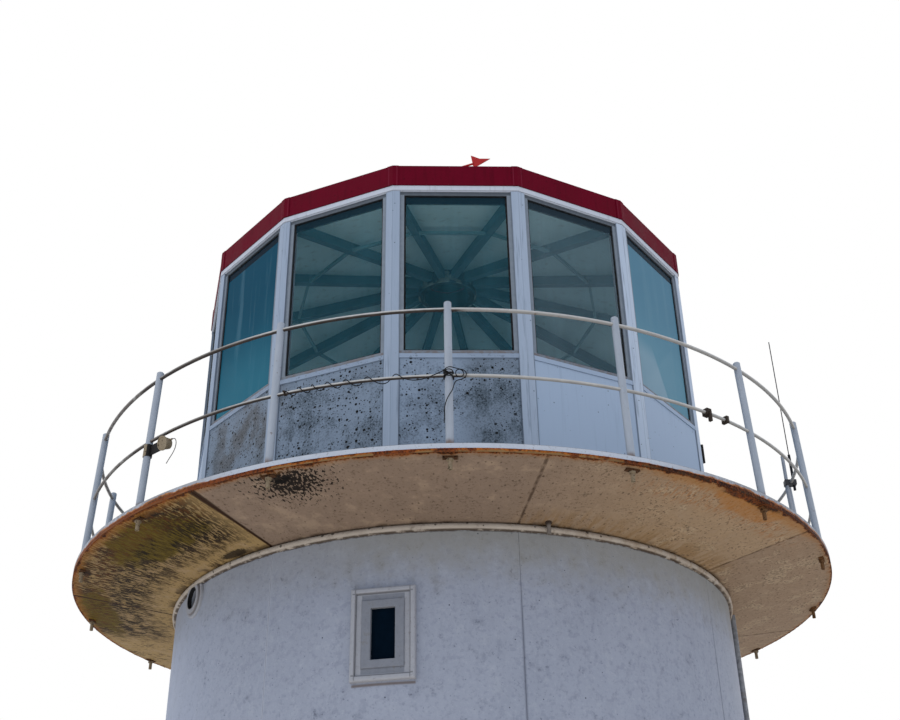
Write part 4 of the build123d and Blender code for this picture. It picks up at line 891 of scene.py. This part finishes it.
# painted shade on the lower half of both rails, with grime that makes it heavier left of the middle
grime_and_shade = near(azimuth, -24.0, 24.0, 3.0) * 0.9 + 0.35
underside = rise(off_middle, -0.001, -0.007) * grime_and_shade
body = mix(underside, body, mix(worn, rgb(24, 22, 22), rgb(78, 66, 58)))
body = mix(rise(cloud(at, 40.0, 4.0, 0.7), 0.60, 0.78) * 0.5, body, rgb(128, 118, 104))
body = mix(rise(cloud(at, 16.0, 4.0, 0.7), 0.64, 0.70) * 0.7, body, rgb(110, 76, 54))
surface(at, body, 0.36, worn + cloud(at, 120.0) * 0.3, 0.0012, **{"Specular IOR Level": 0.4})
coat(rail_paint, "top_rail", "mid_rail")

stanchion_paint, at = finish("stanchion_cream")
z = height_of(at)
worn = cloud(upright(at, 0.3), 26.0, 4.0, 0.6)
body = mix(worn, rgb(146, 156, 168), rgb(172, 180, 190))
body = mix(rise(cloud(at, 34.0, 4.0, 0.7), 0.60, 0.78) * 0.5, body, rgb(116, 110, 104))
body = mix(rise(z + worn * 0.06, DECK_TOP + 0.082, DECK_TOP + 0.037) * 0.8, body, rgb(104, 72, 48))
body = mix(rise(z, DECK_TOP + 0.0105, DECK_TOP + 0.007) * 0.6, body, rgb(60, 48, 40))
body = mix(rise(cloud(at, 16.0, 4.0, 0.7), 0.66, 0.72) * 0.7, body, rgb(100, 74, 56))
surface(at, body, 0.42, worn + cloud(at, 120.0) * 0.3, 0.0014, **{"Specular IOR Level": 0.4})
coat(stanchion_paint, "stanchions")


# Downpipe, aerial, lamp and clamps
# Fittings added over the years: a galvanised downpipe, a whip aerial on a short mast, a
# weathered lamp cup and two pipe clamps.
MAST_R, COLLAR_Z, LAMP_STRAP_AZ = 2.776, 5.666, -43.45
RAIL_DEGREE = 0.05  # metres round the railing
zinc, at = finish("fitting_zinc")
spangle = at.node("ShaderNodeTexVoronoi", {"Vector": at, "Scale": 60.0}, out=1)
spangle = spangle.node("ShaderNodeSeparateColor", {0: spangle})
body = mix(spangle, rgb(120, 124, 130), rgb(150, 154, 160))
body = mix(rise(cloud(at, 14.0, 4.0), 0.55, 0.75) * 0.5, body, rgb(96, 82, 70))
surface(at, body, 0.5, cloud(at, 60.0), 0.001, Metallic=0.35)
coat(zinc, "downpipe")

aerial_finish, at = finish("aerial_black_and_zinc")
radius, z = radius_of(at), height_of(at)
black = rise(radius, MAST_R, MAST_R + 0.003)
body = mix(cloud(at, 40.0), rgb(146, 152, 160), rgb(172, 178, 186))
body = mix(black, body, mix(cloud(at, 60.0), rgb(20, 22, 28), rgb(38, 40, 46)))
body = mix(near(z, COLLAR_Z, 0.023, 0.001), body, rgb(66, 66, 68))
surface(at, body, 0.45, cloud(at, 120.0), 0.001)
coat(aerial_finish, "aerial")

lamp_finish, at = finish("lamp_beige")
azimuth, z = azimuth_of(at), height_of(at)
body = mix(cloud(at, 26.0, 4.0), rgb(126, 112, 90), rgb(164, 150, 126))
body = mix(near(azimuth, LAMP_STRAP_AZ, 1.15, 0.05), body, rgb(30, 29, 30))
body = mix(specks(point(azimuth * RAIL_DEGREE, z), 40.0, 0.3, 0.5) * 0.7, body, rgb(52, 40, 30))
surface(at, body, 0.55, cloud(at, 90.0), 0.001)
coat(lamp_finish, "rail_lamp")

clamp_finish, at = finish("clamp_dark")
body = mix(cloud(at, 60.0, 4.0), rgb(28, 26, 26), rgb(74, 62, 52))
surface(at, body, 0.6, cloud(at, 140.0), 0.001)
coat(clamp_finish, "rail_clamp")


# Cable and lamp wire on the rail
# A black sheathed cable is wound round the mid rail, tied up at the middle stanchion, and
# its cut end hangs free. A thinner wire of the same kind hangs out of the rail lamp.
sheath, at = finish("black_sheath")
dust = cloud(at, 90.0, 4.0)
surface(at, mix(rise(dust, 0.45, 0.7) * 0.5, rgb(16, 17, 20), rgb(58, 56, 54)), 0.5)

MID_RAIL_TUBE = 0.011
rail_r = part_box("mid_rail")[1][0] - MID_RAIL_TUBE
# azimuth in degrees, then millimetres out from the rail's middle line and up from it
CABLE_ROUTE = (
    (-20.85, 25, 0), (-20.45, 24, -7), (-20.15, 10, -22), (-19.9, -14, -20), (-19.7, -24, 0),
    (-19.5, -13, 21), (-19.2, 9, 23), (-18.85, 23, 9), (-18.45, 20, -14), (-18.1, -1, -25),
    (-17.85, -21, -13), (-17.65, -21, 12), (-17.4, -1, 25), (-17.1, 20, 15), (-16.8, 23, -9),
    (-16.45, 6, -25), (-16.15, -17, -18), (-15.9, -24, 5), (-15.6, -9, 24), (-15.2, 14, 21),
    (-14.8, 25, 0), (-14.35, 12, -23), (-13.95, -13, -22), (-13.65, -25, -1), (-13.3, -13, 21),
    (-12.9, 10, 23), (-12.5, 24, 5), (-12.05, 17, -20), (-11.55, -6, -27), (-11.1, -22, -12),
    (-10.75, -20, 13), (-10.35, -2, 25), (-9.95, 19, 17), (-9.5, 26, -7), (-8.95, 15, -27),
    (-8.3, -4, -31), (-7.75, -20, -19), (-7.3, -23, 4), (-6.9, -9, 24), (-6.45, 14, 22),
    (-6.05, 26, 2), (-5.5, 24, -20), (-4.6, 22, -34), (-3.6, 24, -36), (-2.6, 29, -27),
    (-1.75, 35, -11), (-1.08, 38, 2), (-0.42, 41, 19), (0.13, 43, 24), (0.55, 44, 9),
    (0.52, 45, -14), (0.07, 47, -28), (-0.42, 48, -20), (-0.64, 50, 2), (-0.37, 52, 23),
    (0.15, 54, 33), (0.75, 48, 26), (1.25, 38, 25), (1.72, 30, 17), (1.9, 28, -6),
    (1.48, 26, -28), (1.0, 27, -20), (0.8, 28, 3), (1.0, 26, 26), (1.5, 22, 33),
    (2.05, 21, 20), (2.2, 22, -8), (1.85, 27, -34), (1.35, 32, -46), (0.88, 36, -54),
    (0.62, 40, -80), (0.45, 43, -120), (-0.05, 45, -160), (-0.42, 46, -205), (-0.58, 47, -255),
    (-0.54, 48, -300), (-0.62, 49, -343))
LAMP_AZ, LAMP_IN, LAMP_DROP = -41.3, 0.008, 0.068
# millimetres along the rail, out and up from the lamp's middle
WIRE_ROUTE = (
    (57, -8, 16), (80, -8, 14), (102, -6, -4), (116, -3, -36), (115, 1, -74), (98, 5, -108),
    (72, 8, -136), (48, 9, -162))


def lay_cord(name, points, thick):
    line = bpy.data.curves.new(name, "CURVE")
    line.dimensions, line.bevel_depth, line.bevel_resolution = "3D", thick / 2, 3
    line.use_fill_caps, line.resolution_u = True, 8
    spline = line.splines.new("NURBS")
    spline.points.add(len(points) - 1)
    for knot, p in zip(spline.points, points):
        knot.co = (*p, 1.0)
    spline.order_u, spline.use_endpoint_u = 3, True
    line.materials.append(sheath)
    made = bpy.data.objects.new(name, line)
    bpy.context.scene.collection.objects.link(made)
    return made


cable_points = [turned(a, 0.0, rail_r + out / 1000, mid_z + up / 1000) for a, out, up in CABLE_ROUTE]
cable = lay_cord("wound_cable", cable_points, thick=0.006)
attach(cable, "tower")
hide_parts("rail_cable")

wire_points = [turned(LAMP_AZ, along / 1000, rail_r - LAMP_IN + out / 1000, mid_z - LAMP_DROP + up / 1000)
               for along, out, up in WIRE_ROUTE]
wire = lay_cord("hanging_wire", wire_points, thick=0.005)
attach(wire, "tower")
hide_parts("lamp_wire")


# Cable ties at the middle stanchion
# The cable is lashed where the mid rail meets the middle stanchion with black plastic ties.
# They are pulled tight round the pipe, one over the other and each at its own slant.
TIE_R, TIE_THICK = 0.0288, 0.0045
TIE_WIDER, TIE_HIGHER = 0.0004, 0.002
TIE_SLANTS = (0.62, -0.55, 0.30, -0.86)
ROUND_TIE, ROUND_STRIP = 24, 6
verts, faces = [], []
for k, slant in enumerate(TIE_SLANTS):
    first = len(verts)
    for i in range(ROUND_TIE):
        way = math.radians(360 / ROUND_TIE * i)
        for j in range(ROUND_STRIP):
            bend = math.radians(360 / ROUND_STRIP * j)
            out = TIE_R + TIE_WIDER * k + TIE_THICK * math.cos(bend)
            along = out * math.sin(way)
            up = mid_z + TIE_HIGHER * k + slant * along + TIE_THICK * math.sin(bend)
            verts.append(turned(0.0, along, rail_r + out * math.cos(way), up))
            a, b = first + i * ROUND_STRIP, first + (i + 1) % ROUND_TIE * ROUND_STRIP
            beside = (j + 1) % ROUND_STRIP
            faces.append((a + j, b + j, b + beside, a + beside))
piece("cable_ties", verts, faces, sheath)
